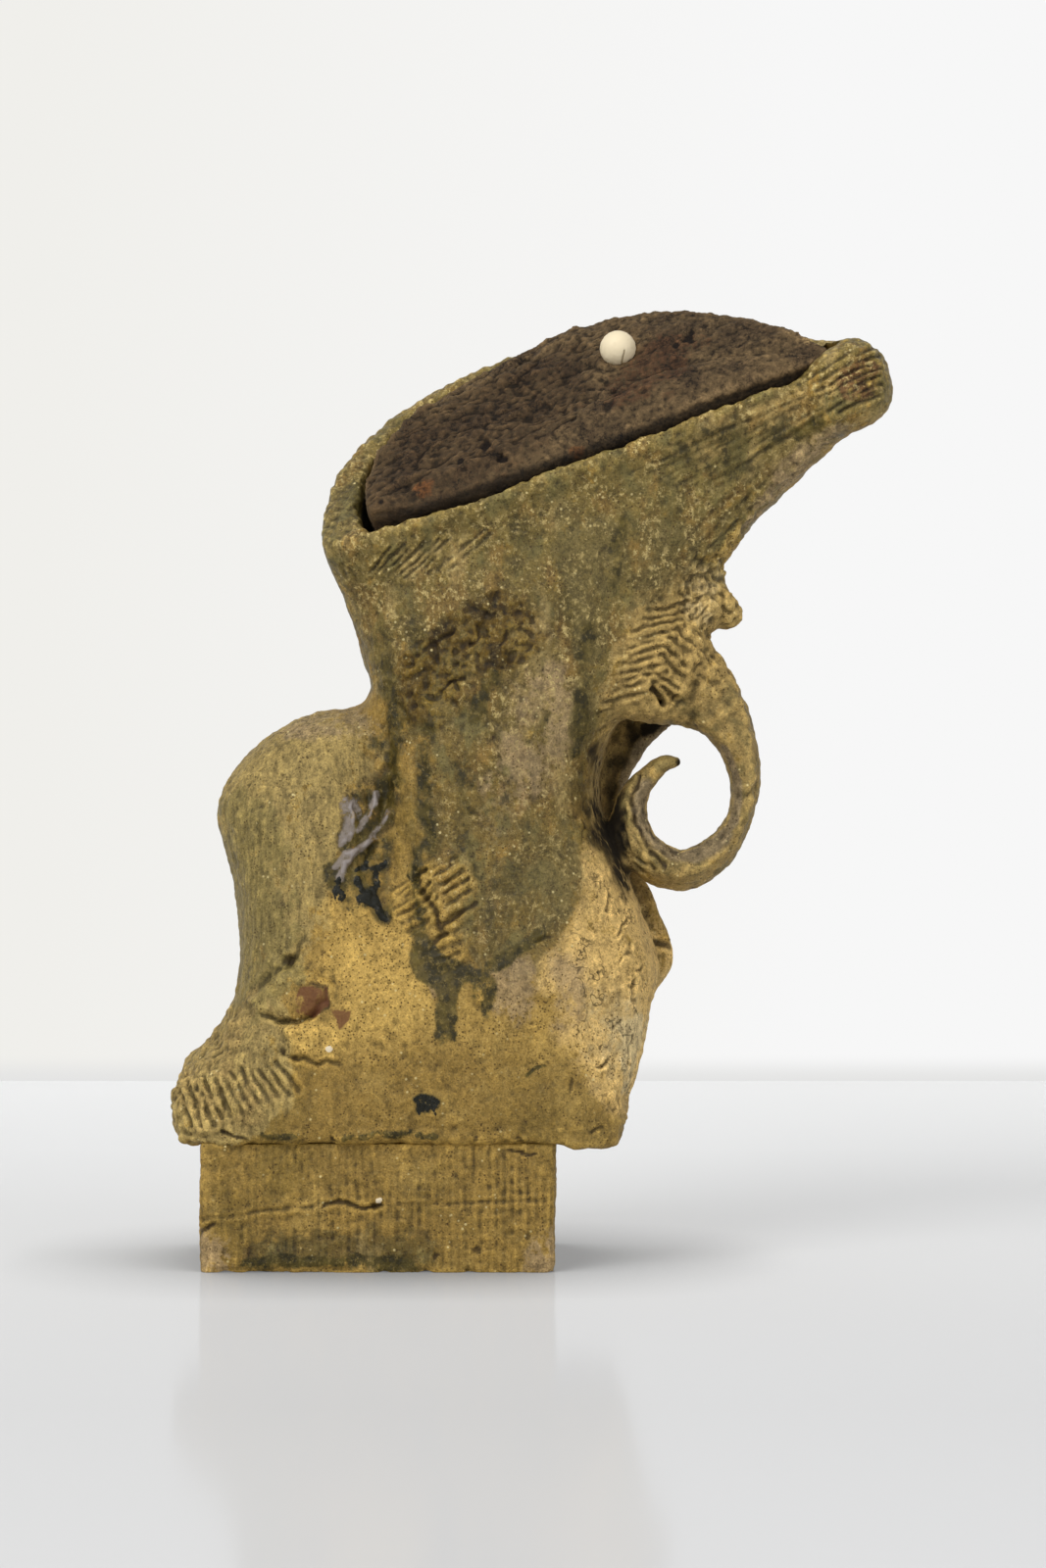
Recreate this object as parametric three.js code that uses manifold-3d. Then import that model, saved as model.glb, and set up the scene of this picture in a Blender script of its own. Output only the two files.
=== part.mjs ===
// A hand-built stoneware jar, wood-fired: a slab box foot, a hollow body with a shoulder pouch, a slanting
// leaf-shaped mouth that runs out into a beak, a curled handle, and a loose clay lid with a ball knob.
// Millimetres. +Z is up, +X points towards the beak and -Y is the front that the mouth leans over.
import * as THREE from "three";
import { mergeVertices } from "three/addons/utils/BufferGeometryUtils.js";
import Module from "manifold-3d";

const wasm = await Module();
wasm.setup();

// Walls and joints
const WALL = 9; // thickness of the body's clay
const JOINT = 0.3; // slip joint left between two luted pieces
const RING_POINTS = 40; // points round a section of the body
const FRONT_BACK_SEAM_Y = -2; // where the front and back sheets meet

// Foot, a box of four slabs, open underneath
const FOOT_LENGTH = 154;
const FOOT_DEPTH = 104;
const FOOT_HEIGHT = 56;
const FOOT_MIDDLE_X = 1.5; // the foot sits a little towards the beak
const FOOT_WALL = 12;
const FOOT_CORNER_RADIUS = 4;
const COIL_RADIUS = 7; // coil of clay pressed into each inner corner of the foot

// Floor slab, which closes the hollow and overhangs the foot
const FLOOR_THICKNESS = 10;
const FLOOR_BOTTOM = FOOT_HEIGHT + JOINT;
const FLOOR_TOP = FLOOR_BOTTOM + FLOOR_THICKNESS;

// Main sizes of the body: its torn lip to its right side, its front to its back, and its floor to its waist
const BODY_LENGTH = 216;
const BODY_DEPTH = 113;
const BODY_HEIGHT = 190;
const NECK_HEIGHT = 73.2; // from the waist to the near left corner of the mouth
const WAIST_Z = FLOOR_BOTTOM + BODY_HEIGHT;
const MOUTH_Z = WAIST_Z + NECK_HEIGHT;

// Places of the seams that cross the body
const SKIRT_HEIGHT = 55.7;
const SKIRT_BOTTOM = FLOOR_TOP + JOINT;
const SKIRT_SEAM_Z = FLOOR_BOTTOM + SKIRT_HEIGHT;
const NECK_SEAM_ABOVE_WAIST = 5.7;
const NECK_SEAM_Z = WAIST_Z + NECK_SEAM_ABOVE_WAIST;
const SKIRT_LEFT_SEAM = -0.2685; // shares of the body's length
const SKIRT_RIGHT_SEAM = 0.4259;
const CREASE_LOW = -0.1019; // the crease between pouch and column, at the skirt's seam and at the neck's
const CREASE_HIGH = -0.0185;

// Sections of the hollow forms, as shares of the body's height, length and depth: how far up, how far each side
// reaches from the middle, and a squareness (2 is an ellipse and more is boxier)
const SKIRT_SECTIONS = [
  { up: 0, left: -0.412, right: 0.4907, front: -0.4956, back: 0.4867, square: 7 },
  { up: 0.0458, left: -0.419, right: 0.5139, front: -0.5044, back: 0.4956, square: 6 },
  { up: 0.0932, left: -0.4167, right: 0.5208, front: -0.5044, back: 0.4956, square: 6 },
  { up: 0.1353, left: -0.4028, right: 0.5324, front: -0.5044, back: 0.4956, square: 5 },
  { up: 0.2089, left: -0.3657, right: 0.5486, front: -0.5044, back: 0.4867, square: 4 },
  { up: 0.2932, left: -0.3009, right: 0.5556, front: -0.5044, back: 0.4779, square: 3.4 },
  { up: 0.3774, left: -0.2593, right: 0.537, front: -0.469, back: 0.4425, square: 3 },
  { up: 0.4616, left: -0.213, right: 0.4907, front: -0.3894, back: 0.3717, square: 2.6 },
];
const COLUMN_SECTIONS = [
  { up: 0, left: -0.1389, right: 0.4537, front: -0.4602, back: 0.4425, square: 3 },
  { up: 0.1984, left: -0.1204, right: 0.5185, front: -0.4867, back: 0.469, square: 3 },
  { up: 0.3142, left: -0.1019, right: 0.5648, front: -0.4956, back: 0.469, square: 2.9 },
  { up: 0.3879, left: -0.0833, right: 0.581, front: -0.4956, back: 0.469, square: 2.8 },
  { up: 0.4774, left: -0.0556, right: 0.5556, front: -0.469, back: 0.4425, square: 2.6 },
  { up: 0.5774, left: -0.0324, right: 0.5231, front: -0.4425, back: 0.4248, square: 2.5 },
  { up: 0.6826, left: -0.0139, right: 0.4769, front: -0.4159, back: 0.3982, square: 2.4 },
  { up: 0.7879, left: -0.0093, right: 0.4491, front: -0.3982, back: 0.3805, square: 2.4 },
  { up: 0.8932, left: -0.0139, right: 0.463, front: -0.3894, back: 0.3717, square: 2.4 },
  { up: 0.9879, left: -0.0231, right: 0.5, front: -0.3894, back: 0.3628, square: 2.4 },
];
const POUCH_SECTIONS = [
  { up: 0, left: -0.3241, right: 0.0926, front: -0.4071, back: 0.3894, square: 3 },
  { up: 0.1984, left: -0.3009, right: 0.0926, front: -0.4336, back: 0.4159, square: 3 },
  { up: 0.2932, left: -0.287, right: 0.0926, front: -0.4425, back: 0.4248, square: 2.8 },
  { up: 0.4405, left: -0.2778, right: 0.0833, front: -0.4159, back: 0.4159, square: 2.5 },
  { up: 0.5932, left: -0.2917, right: 0.0741, front: -0.3894, back: 0.4071, square: 2.3 },
  { up: 0.6826, left: -0.3148, right: 0.0648, front: -0.3717, back: 0.3982, square: 2.2 },
  { up: 0.7563, left: -0.331, right: 0.0556, front: -0.354, back: 0.3805, square: 2.2 },
  { up: 0.8247, left: -0.3171, right: 0.0463, front: -0.3186, back: 0.354, square: 2.2 },
  { up: 0.8932, left: -0.2685, right: 0.0417, front: -0.2743, back: 0.3097, square: 2.2 },
  { up: 0.9458, left: -0.213, right: 0.037, front: -0.2124, back: 0.2478, square: 2.2 },
  { up: 0.9826, left: -0.1528, right: 0.0278, front: -0.1416, back: 0.177, square: 2.2 },
  { up: 1.0011, left: -0.0926, right: 0.0139, front: -0.0619, back: 0.0885, square: 2.2 },
];
const POUCH_DOME_FROM = 0.6721; // above this share the pouch closes in, so its inside is dropped by the wall

// Mouth, a leaf in a slanting plane. Its plane starts from the near left corner of the inner edge and has three
// directions: along the near rim, across to the far rim, and out of the mouth.
const MOUTH_CORNER_X = -4;
const MOUTH_CORNER_Y = -42;
const MOUTH_CORNER = new THREE.Vector3(MOUTH_CORNER_X, MOUTH_CORNER_Y, MOUTH_Z);
const MOUTH_RISE_DEG = 20.5; // slope of the near rim up towards the beak
const MOUTH_TILT_DEG = 38; // how far the far rim stands above the near one
const MOUTH_LENGTH = 225;
const MOUTH_WIDTH = 94;
const LEFT_END_ACROSS = 14; // where the leaf's two ends lie across the mouth
const BEAK_END_ACROSS = 5;
const NEAR_RIM_BOW = 6; // how far the near rim swells forward in the middle
const NEAR_RIM_WIDTH = 5;
const LID_NEAR_GAP = 1.6; // the gap between the lid and the near rim

// Leaf outlines in that plane: how far the near side stands out past the inner edge, how blunt that side's ends
// are (smaller is blunter), and the places that the far side curves through, as shares of the length and width
const INNER_EDGE = {
  near: 0,
  nearEnds: 0.13,
  far: [
    [0, 0.1489],
    [0.0133, 0.4043],
    [0.0622, 0.617],
    [0.1556, 0.8404],
    [0.3111, 0.9681],
    [0.4667, 1.0053],
    [0.6133, 0.8989],
    [0.76, 0.6809],
    [0.9067, 0.3511],
    [1, 0.0532],
  ],
};
const OUTER_EDGE = {
  near: NEAR_RIM_WIDTH,
  nearEnds: 0.24,
  far: [
    [-0.0889, 0.1489],
    [-0.0711, 0.3511],
    [-0.0222, 0.617],
    [0.0711, 0.8511],
    [0.2133, 1.0319],
    [0.4044, 1.0957],
    [0.5511, 1.0585],
    [0.6756, 0.9043],
    [0.8533, 0.5745],
    [0.9689, 0.3085],
    [1.0578, 0.0532],
  ],
};
const LID_EDGE = {
  near: -LID_NEAR_GAP,
  nearEnds: 0.2,
  far: [
    [0.02, 0.1489],
    [0.0356, 0.3511],
    [0.0978, 0.6064],
    [0.2178, 0.8032],
    [0.4, 0.9149],
    [0.5333, 0.9362],
    [0.68, 0.7819],
    [0.8533, 0.4468],
    [0.9378, 0.2021],
    [0.9733, 0.0638],
  ],
};
const RIM_BEVEL = 2.5;
const RIM_BEVEL_HEIGHT = 6;
const FLARE_STEPS = 9;
const FLARE_LENGTH = 40; // over this length the neck keeps going straight up
const BEAK_FLARE_LENGTH = 26; // and under the beak, where it turns out sooner
const NEAR_RIM_LENGTH = 14; // over this length the near rim follows the mouth's direction
const FAR_RIM_LENGTH = 32; // and the far rim
const MOUTH_SEAM_DEPTH = 46; // depth of the neck's seam below the mouth
const BEAK_SEAM_ALONG = 205; // where the beak tip is joined on, along the near rim

// Lid, a thick slab of dark clay that drops into the mouth and stands on a ledge
const LID_DEPTH = 13; // how far it reaches into the mouth
const LID_CROWN = 9; // how far it stands out of it
const LID_SWELL = 1; // how much higher its middle stands
const LID_FAR_SWELL = 6; // how much higher its far side stands in the middle
const LID_EDGE_ROUND = 5;
const LID_SEAT_GAP = 0.3; // the lid's rest above its ledge
const LEDGE_THICKNESS = 8;
const LEDGE_WIDTH = 9;
const LEDGE_FROM = 16; // the ledge coils start and stop short of the mouth's ends
const LEDGE_TO = 196;

// Knob, a white ball set in a dimple of the lid
const KNOB_RADIUS = 8.1;
const KNOB_SINK = 1.8;
const KNOB_ALONG = 134.5;
const KNOB_ACROSS = 48;

// Beak tip, a pinched nose of solid clay, with its middle beside the near rim and below the mouth
const BEAK_ALONG = 221.42;
const BEAK_NEARER = 1.61;
const BEAK_BELOW = 11.81;
const BEAK_HALF_LENGTH = 19;
const BEAK_HALF_DEPTH = 18;
const BEAK_HALF_HEIGHT = 20;
const BEAK_SQUARENESS = 2.8;

// Handle: a root that fans out on the neck, and a tapering strap that curls in on itself
const WAIST_RIGHT = COLUMN_SECTIONS.at(-1).right * BODY_LENGTH;
const HANDLE_INSET = 16; // the root starts inside the neck
const HANDLE_X = WAIST_RIGHT - HANDLE_INSET;
const HANDLE_Y = -6;
const HANDLE_BELOW_MOUTH = 42;
const HANDLE_HEIGHT = 103.3; // from there down to the middle of the strap at its lowest
const HANDLE_SIDES = 12;
// Sections as shares of the handle's height: the root's are places, half sizes and a turn in degrees
const ROOT_SECTIONS = [
  { x: 0, z: 0, high: 0.3872, deep: 0.3291, turn: 0 },
  { x: 0.1936, z: -0.029, high: 0.3001, deep: 0.2904, turn: 8 },
  { x: 0.3485, z: -0.0871, high: 0.2227, deep: 0.242, turn: 22 },
  { x: 0.4743, z: -0.1742, high: 0.1549, deep: 0.1936, turn: 40 },
];
// and the strap's are places, half its thickness and width, and how far its inner face turns to the front
const CURL_SECTIONS = [
  { x: 0.3872, z: -0.092, thick: 0.1452, wide: 0.1646, twist: 0 },
  { x: 0.4743, z: -0.1742, thick: 0.1549, wide: 0.1646, twist: 0 },
  { x: 0.5537, z: -0.2778, thick: 0.1355, wide: 0.1646, twist: 1 },
  { x: 0.6234, z: -0.3688, thick: 0.0968, wide: 0.1646, twist: 2 },
  { x: 0.6651, z: -0.4598, thick: 0.0794, wide: 0.1597, twist: 3 },
  { x: 0.6902, z: -0.544, thick: 0.0678, wide: 0.1549, twist: 4 },
  { x: 0.6989, z: -0.6418, thick: 0.0581, wide: 0.1452, twist: 5 },
  { x: 0.6864, z: -0.727, thick: 0.0445, wide: 0.1404, twist: 6 },
  { x: 0.6563, z: -0.8219, thick: 0.0503, wide: 0.1404, twist: 8 },
  { x: 0.5905, z: -0.9109, thick: 0.0678, wide: 0.1404, twist: 11 },
  { x: 0.4879, z: -0.9845, thick: 0.0774, wide: 0.1404, twist: 14 },
  { x: 0.3804, z: -1, thick: 0.0794, wide: 0.1404, twist: 16 },
  { x: 0.2701, z: -0.9458, thick: 0.0813, wide: 0.1404, twist: 16 },
  { x: 0.211, z: -0.8577, thick: 0.0736, wide: 0.1355, twist: 15 },
  { x: 0.1917, z: -0.7648, thick: 0.0658, wide: 0.1258, twist: 13 },
  { x: 0.2236, z: -0.6544, thick: 0.0542, wide: 0.1113, twist: 10 },
  { x: 0.2914, z: -0.5741, thick: 0.0407, wide: 0.092, twist: 7 },
  { x: 0.3591, z: -0.5334, thick: 0.029, wide: 0.0678, twist: 4 },
  { x: 0.4192, z: -0.5392, thick: 0.0126, wide: 0.029, twist: 0 },
];
const CURL_STEPS = 32;
const CURL_END_SHIFT_Y = -4; // the curled end leans a little to the front

// Lug under the beak: a pinched pad and the horn drawn out of it
const LUG_PAST_WAIST = 36;
const LUG_Y = -10;
const LUG_BELOW_MOUTH = 23;
const LUG_CENTRE = [WAIST_RIGHT + LUG_PAST_WAIST, LUG_Y, MOUTH_Z - LUG_BELOW_MOUTH];
const LUG_HALF_WIDTH = 11;
const LUG_HALF_DEPTH = 15;
const LUG_HALF_HEIGHT = 18;
const HORN_LENGTH = 18; // from the lug's centre; the horn's sections are shares of it
const HORN_SECTIONS = [
  { x: 0.3333, z: -0.3056, high: 0.5, deep: 0.5, turn: 0 },
  { x: 0.7222, z: -0.4167, high: 0.4167, deep: 0.4167, turn: 0 },
  { x: 1, z: -0.4722, high: 0.1944, deep: 0.2222, turn: 0 },
];

// Edges of the back sheet that stand out past the front one, drawn in shares of the body's length and height
const FIN_Y = 12;
const FIN_THICKNESS = 9;
const LOWER_FIN_OUTLINE = [
  [0.4537, 0.6037],
  [0.5463, 0.6037],
  [0.5648, 0.5774],
  [0.6065, 0.4616],
  [0.6097, 0.43],
  [0.6157, 0.3879],
  [0.5912, 0.3484],
  [0.5671, 0.3089],
  [0.4537, 0.2958],
];
const UPPER_FIN_OUTLINE = [
  [0.4259, 1.0511],
  [0.5926, 1.0353],
  [0.6227, 0.9826],
  [0.6065, 0.9616],
  [0.562, 0.9142],
  [0.5255, 0.8563],
  [0.5139, 0.7984],
  [0.5069, 0.7037],
  [0.5417, 0.6058],
  [0.4259, 0.6058],
];

const CLAY = 0x8f7440;
const FOOT_CLAY = 0x8a6c3c;
const CURL_CLAY = 0x86703c;
const LID_CLAY = 0x4a3f36;
const KNOB_CLAY = 0xe9dcc3;

// A closed three.js geometry as a solid that can be cut and joined
function solidOf(geometry) {
  const bare = new THREE.BufferGeometry();
  bare.setAttribute("position", geometry.getAttribute("position"));
  bare.setIndex(geometry.index);
  const merged = mergeVertices(bare, 1e-4);
  const vertProperties = merged.attributes.position.array;
  const triVerts = new Uint32Array(merged.index.array);
  return new wasm.Manifold(new wasm.Mesh({ numProp: 3, vertProperties, triVerts }));
}

function geometryOf(solid) {
  const mesh = solid.getMesh();
  const geometry = new THREE.BufferGeometry();
  geometry.setAttribute("position", new THREE.BufferAttribute(mesh.vertProperties, 3));
  geometry.setIndex(new THREE.BufferAttribute(mesh.triVerts, 1));
  geometry.computeVertexNormals();
  return geometry;
}

// The largest body of a cut solid: a cut can leave a sliver behind
function mainBody(solid) {
  return solid.decompose().reduce((a, b) => (a.volume() > b.volume() ? a : b));
}

// A solid through a stack of rings with the same count of points, closed by a fan at each end
function loft(rings) {
  const count = rings[0].length;
  const points = rings.flat();
  const faces = [];
  for (let level = 0; level + 1 < rings.length; level++) {
    for (let i = 0; i < count; i++) {
      const next = (i + 1) % count;
      const a = level * count + i;
      const b = level * count + next;
      faces.push(a, b, b + count, a, b + count, a + count);
    }
  }
  const last = (rings.length - 1) * count;
  const bottomMiddle = points.push(middleOf(rings[0])) - 1;
  const topMiddle = points.push(middleOf(rings.at(-1))) - 1;
  for (let i = 0; i < count; i++) {
    const next = (i + 1) % count;
    faces.push(bottomMiddle, next, i, topMiddle, last + i, last + next);
  }
  const geometry = new THREE.BufferGeometry().setFromPoints(points);
  geometry.setIndex(faces);
  return solidOf(geometry);
}

function middleOf(ring) {
  const sum = ring.reduce((total, point) => total.add(point), new THREE.Vector3());
  return sum.divideScalar(ring.length);
}

// Signed power, which turns a circle into a superellipse
function bulge(value, square) {
  return Math.sign(value) * Math.abs(value) ** (2 / square);
}

// A level ring of a section, drawn in by the inset
function levelRing(section, inset = 0) {
  const left = section.left * BODY_LENGTH + inset;
  const right = section.right * BODY_LENGTH - inset;
  const front = section.front * BODY_DEPTH + inset;
  const back = section.back * BODY_DEPTH - inset;
  const z = FLOOR_BOTTOM + section.up * BODY_HEIGHT;
  const middle = (left + right) / 2;
  return ringAngles().map((angle) => {
    const x = middle + ((right - left) / 2) * bulge(Math.cos(angle), section.square);
    const reach = Math.sin(angle) > 0 ? back : -front;
    return new THREE.Vector3(x, reach * bulge(Math.sin(angle), section.square), z);
  });
}

function ringAngles() {
  return Array.from({ length: RING_POINTS }, (_, i) => (2 * Math.PI * i) / RING_POINTS);
}

// Directions of the mouth's plane
const rise = THREE.MathUtils.degToRad(MOUTH_RISE_DEG);
const tilt = THREE.MathUtils.degToRad(MOUTH_TILT_DEG);
const ALONG = new THREE.Vector3(Math.cos(rise), 0, Math.sin(rise));
const ACROSS = new THREE.Vector3(-Math.sin(rise) * Math.sin(tilt), Math.cos(tilt), Math.cos(rise) * Math.sin(tilt));
const OUT = new THREE.Vector3().crossVectors(ALONG, ACROSS);

function mouthPoint(along, across, out) {
  return MOUTH_CORNER.clone()
    .addScaledVector(ALONG, along)
    .addScaledVector(ACROSS, across)
    .addScaledVector(OUT, out);
}

// The far side of a leaf outline as places along and across, from its left end to the beak
function farSide(edge) {
  const places = edge.far.map(([along, across]) => new THREE.Vector3(along * MOUTH_LENGTH, across * MOUTH_WIDTH, 0));
  return new THREE.CatmullRomCurve3(places, false, "centripetal").getSpacedPoints(RING_POINTS / 2);
}

// A leaf outline as a ring at one height out of the mouth, which may differ round it; grown widens it, by one
// size for each of its sides
function leafRing(edge, out, grown = even(0)) {
  const farPlaces = farSide(edge);
  const from = farPlaces[0].x;
  const to = farPlaces.at(-1).x;
  return ringAngles().map((angle, i) => {
    const isFar = i > 0 && i < RING_POINTS / 2;
    const place = isFar ? farPlaces.at(-1 - i) : null;
    const share = isFar ? (place.x - from) / (to - from) : (1 + Math.cos(angle)) / 2;
    const middle = THREE.MathUtils.lerp(LEFT_END_ACROSS, BEAK_END_ACROSS, share);
    const near = (middle + edge.near + grown.near) * Math.max(Math.sin(Math.PI * share), 0) ** edge.nearEnds;
    const across = isFar ? middle + (place.y - middle) * (1 + grown.far / MOUTH_WIDTH) : middle - near;
    const along = THREE.MathUtils.lerp(from - grown.left, to + grown.right, share);
    const height = typeof out === "function" ? out(share, isFar) : out;
    const point = mouthPoint(along, across, height);
    if (!isFar) point.y -= NEAR_RIM_BOW * Math.sin(Math.PI * share);
    return point;
  });
}

function even(by) {
  return { left: by, right: by, near: by, far: by };
}

// The flare from the neck to the mouth: each point leaves the neck upwards and comes to the rim along the
// mouth's own direction
function flareRings(neckRing, rimRing) {
  const angles = ringAngles();
  return Array.from({ length: FLARE_STEPS }, (_, i) => {
    const t = (i + 1) / FLARE_STEPS;
    return neckRing.map((neck, k) => {
      const isFar = (1 + Math.sin(angles[k])) / 2;
      const towardsBeak = Math.max(Math.cos(angles[k]), 0) ** 2;
      const lean = THREE.MathUtils.lerp(NEAR_RIM_LENGTH, FAR_RIM_LENGTH, isFar);
      const rim = rimRing[k];
      const above = neck.clone().setZ(neck.z + THREE.MathUtils.lerp(FLARE_LENGTH, BEAK_FLARE_LENGTH, towardsBeak));
      const below = rim.clone().addScaledVector(OUT, -lean);
      return new THREE.CubicBezierCurve3(neck, above, below, rim).getPoint(t);
    });
  });
}

// Outer form of the column and its flare, drawn in by an inset that is negative to grow it
function columnOuter(inset = 0) {
  const rings = COLUMN_SECTIONS.map((section) => levelRing(section, inset));
  const rim = leafRing(OUTER_EDGE, -RIM_BEVEL_HEIGHT, even(-inset));
  const bevelled = leafRing(OUTER_EDGE, -inset, even(-inset - RIM_BEVEL));
  return loft([...rings, ...flareRings(rings.at(-1), rim), bevelled]);
}

// The hollow inside the column and its flare, which runs out through the mouth
function columnInner(inset) {
  const rings = COLUMN_SECTIONS.map((section) => levelRing(section, inset));
  const rim = leafRing(INNER_EDGE, -RIM_BEVEL_HEIGHT, even(WALL - inset));
  const beyond = leafRing(INNER_EDGE, RIM_BEVEL_HEIGHT, even(WALL - inset));
  return loft([...rings, ...flareRings(rings.at(-1), rim), beyond]);
}

function skirt(inset) {
  return loft(SKIRT_SECTIONS.map((section) => levelRing(section, inset)));
}

function pouch(inset) {
  const top = POUCH_SECTIONS.at(-1).up;
  const sections = POUCH_SECTIONS.map((section) => {
    const share = Math.max(0, (section.up - POUCH_DOME_FROM) / (top - POUCH_DOME_FROM));
    return { ...section, up: section.up - (inset / BODY_HEIGHT) * share };
  });
  // The last rings are narrower than two walls, so they are drawn in less
  const drawnIn = (section) => Math.min(inset, -section.front * BODY_DEPTH - JOINT);
  return loft(sections.map((section) => levelRing(section, drawnIn(section))));
}

function bodyOuter(inset = 0) {
  return skirt(inset).add(columnOuter(inset)).add(pouch(inset));
}

// The prism that the lid passes through, cut parallel to the mouth's direction
function mouthPassage() {
  const bottom = -LID_DEPTH - LID_SEAT_GAP;
  return loft([leafRing(INNER_EDGE, bottom), leafRing(INNER_EDGE, 3 * RIM_BEVEL_HEIGHT)]);
}

// Keeps the part of a solid on the side of a plane that the direction points to
function keep(solid, direction, distance) {
  return solid.trimByPlane(direction.toArray(), distance);
}

const X = new THREE.Vector3(1, 0, 0);
const Y = new THREE.Vector3(0, 1, 0);
const Z = new THREE.Vector3(0, 0, 1);

// Cuts a solid in two at a plane and leaves the slip joint between the halves: [the far half, the near half]
function parted(solid, direction, distance) {
  const far = keep(solid, direction, distance + JOINT / 2);
  const near = keep(solid, direction.clone().negate(), -distance + JOINT / 2);
  return [far, near];
}

const jar = new THREE.Group();
const lid = new THREE.Group();
jar.add(lid);

function addPiece(name, solid, colour, roughness = 0.85, group = jar) {
  const material = new THREE.MeshStandardMaterial({ color: colour, roughness, metalness: 0 });
  const mesh = new THREE.Mesh(geometryOf(mainBody(solid)), material);
  mesh.name = name;
  group.add(mesh);
}

// A slab standing on the ground, with its plan given as x and y ranges and its outer corners rounded
function footSlab(x0, x1, y0, y1, rounds) {
  const r = FOOT_CORNER_RADIUS;
  const plan = new THREE.Shape();
  plan.moveTo(x0 + (rounds.frontLeft ? r : 0), y0);
  plan.lineTo(x1 - (rounds.frontRight ? r : 0), y0);
  if (rounds.frontRight) plan.absarc(x1 - r, y0 + r, r, -Math.PI / 2, 0);
  plan.lineTo(x1, y1 - (rounds.backRight ? r : 0));
  if (rounds.backRight) plan.absarc(x1 - r, y1 - r, r, 0, Math.PI / 2);
  plan.lineTo(x0 + (rounds.backLeft ? r : 0), y1);
  if (rounds.backLeft) plan.absarc(x0 + r, y1 - r, r, Math.PI / 2, Math.PI);
  plan.lineTo(x0, y0 + (rounds.frontLeft ? r : 0));
  if (rounds.frontLeft) plan.absarc(x0 + r, y0 + r, r, Math.PI, 1.5 * Math.PI);
  const geometry = new THREE.ExtrudeGeometry(plan, { depth: FOOT_HEIGHT, bevelEnabled: false, curveSegments: 4 });
  geometry.deleteAttribute("normal");
  geometry.deleteAttribute("uv");
  return solidOf(mergeVertices(geometry, 1e-4));
}

function buildFoot() {
  const left = FOOT_MIDDLE_X - FOOT_LENGTH / 2;
  const right = FOOT_MIDDLE_X + FOOT_LENGTH / 2;
  const y = FOOT_DEPTH / 2;
  const inner = y - FOOT_WALL;
  addPiece("foot_front_slab", footSlab(left, right, -y, -inner, { frontLeft: true, frontRight: true }), FOOT_CLAY);
  addPiece("foot_back_slab", footSlab(left, right, inner, y, { backLeft: true, backRight: true }), FOOT_CLAY);
  const end = inner - JOINT;
  addPiece("foot_left_slab", footSlab(left, left + FOOT_WALL, -end, end, {}), FOOT_CLAY);
  addPiece("foot_right_slab", footSlab(right - FOOT_WALL, right, -end, end, {}), FOOT_CLAY);
  buildCornerCoils(FOOT_LENGTH / 2 - FOOT_WALL, inner);
}

// Quarter-round coils in the foot's inner corners
function buildCornerCoils(x, y) {
  for (const [side, label] of [
    [-1, "left"],
    [1, "right"],
  ]) {
    for (const [face, name] of [
      [-1, "front"],
      [1, "back"],
    ]) {
      const plan = new THREE.Shape();
      plan.moveTo(0, 0);
      plan.lineTo(COIL_RADIUS, 0);
      plan.absarc(0, 0, COIL_RADIUS, 0, Math.PI / 2);
      plan.lineTo(0, 0);
      const height = FOOT_HEIGHT - 2 * JOINT;
      const geometry = new THREE.ExtrudeGeometry(plan, { depth: height, bevelEnabled: false, curveSegments: 5 });
      geometry.deleteAttribute("normal");
      geometry.deleteAttribute("uv");
      const coil = solidOf(mergeVertices(geometry, 1e-4));
      const turn = Math.atan2(-face, -side) - Math.PI / 4;
      const placed = coil
        .rotate(0, 0, THREE.MathUtils.radToDeg(turn))
        .translate(FOOT_MIDDLE_X + side * (x - JOINT), face * (y - JOINT), JOINT);
      addPiece(`foot_${name}_${label}_coil`, placed, FOOT_CLAY);
    }
  }
}

function buildFloor() {
  const bottom = levelRing(SKIRT_SECTIONS[0]);
  const top = bottom.map((point) => point.clone().setZ(FLOOR_TOP));
  addPiece("floor_slab", loft([bottom, top]), CLAY);
}

// The hollow shell of skirt, column, pouch and flare, with the lid's way in cut clear
function buildShell() {
  const hollow = skirt(WALL).add(columnInner(WALL)).add(pouch(WALL));
  return keep(bodyOuter().subtract(hollow).subtract(mouthPassage()), Z, SKIRT_BOTTOM);
}

function buildSkirt(shell) {
  const ring = keep(shell, Z.clone().negate(), -SKIRT_SEAM_Z + JOINT / 2);
  const [rest, left] = parted(ring, X, SKIRT_LEFT_SEAM * BODY_LENGTH);
  const [right, middle] = parted(rest, X, SKIRT_RIGHT_SEAM * BODY_LENGTH);
  const [back, front] = parted(middle, Y, FRONT_BACK_SEAM_Y);
  addPiece("skirt_left_lip", left, CLAY);
  addPiece("skirt_right_slab", right, CLAY);
  addPiece("skirt_front_slab", front, CLAY);
  addPiece("skirt_back_slab", back, CLAY);
}

// The crease between the pouch and the column leans with the column's left side
function creasePlane() {
  const low = new THREE.Vector3(CREASE_LOW * BODY_LENGTH, 0, SKIRT_SEAM_Z);
  const high = new THREE.Vector3(CREASE_HIGH * BODY_LENGTH, 0, NECK_SEAM_Z);
  const up = high.clone().sub(low).normalize();
  const direction = new THREE.Vector3().crossVectors(Y, up).normalize();
  return { direction, distance: direction.dot(low) };
}

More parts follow.
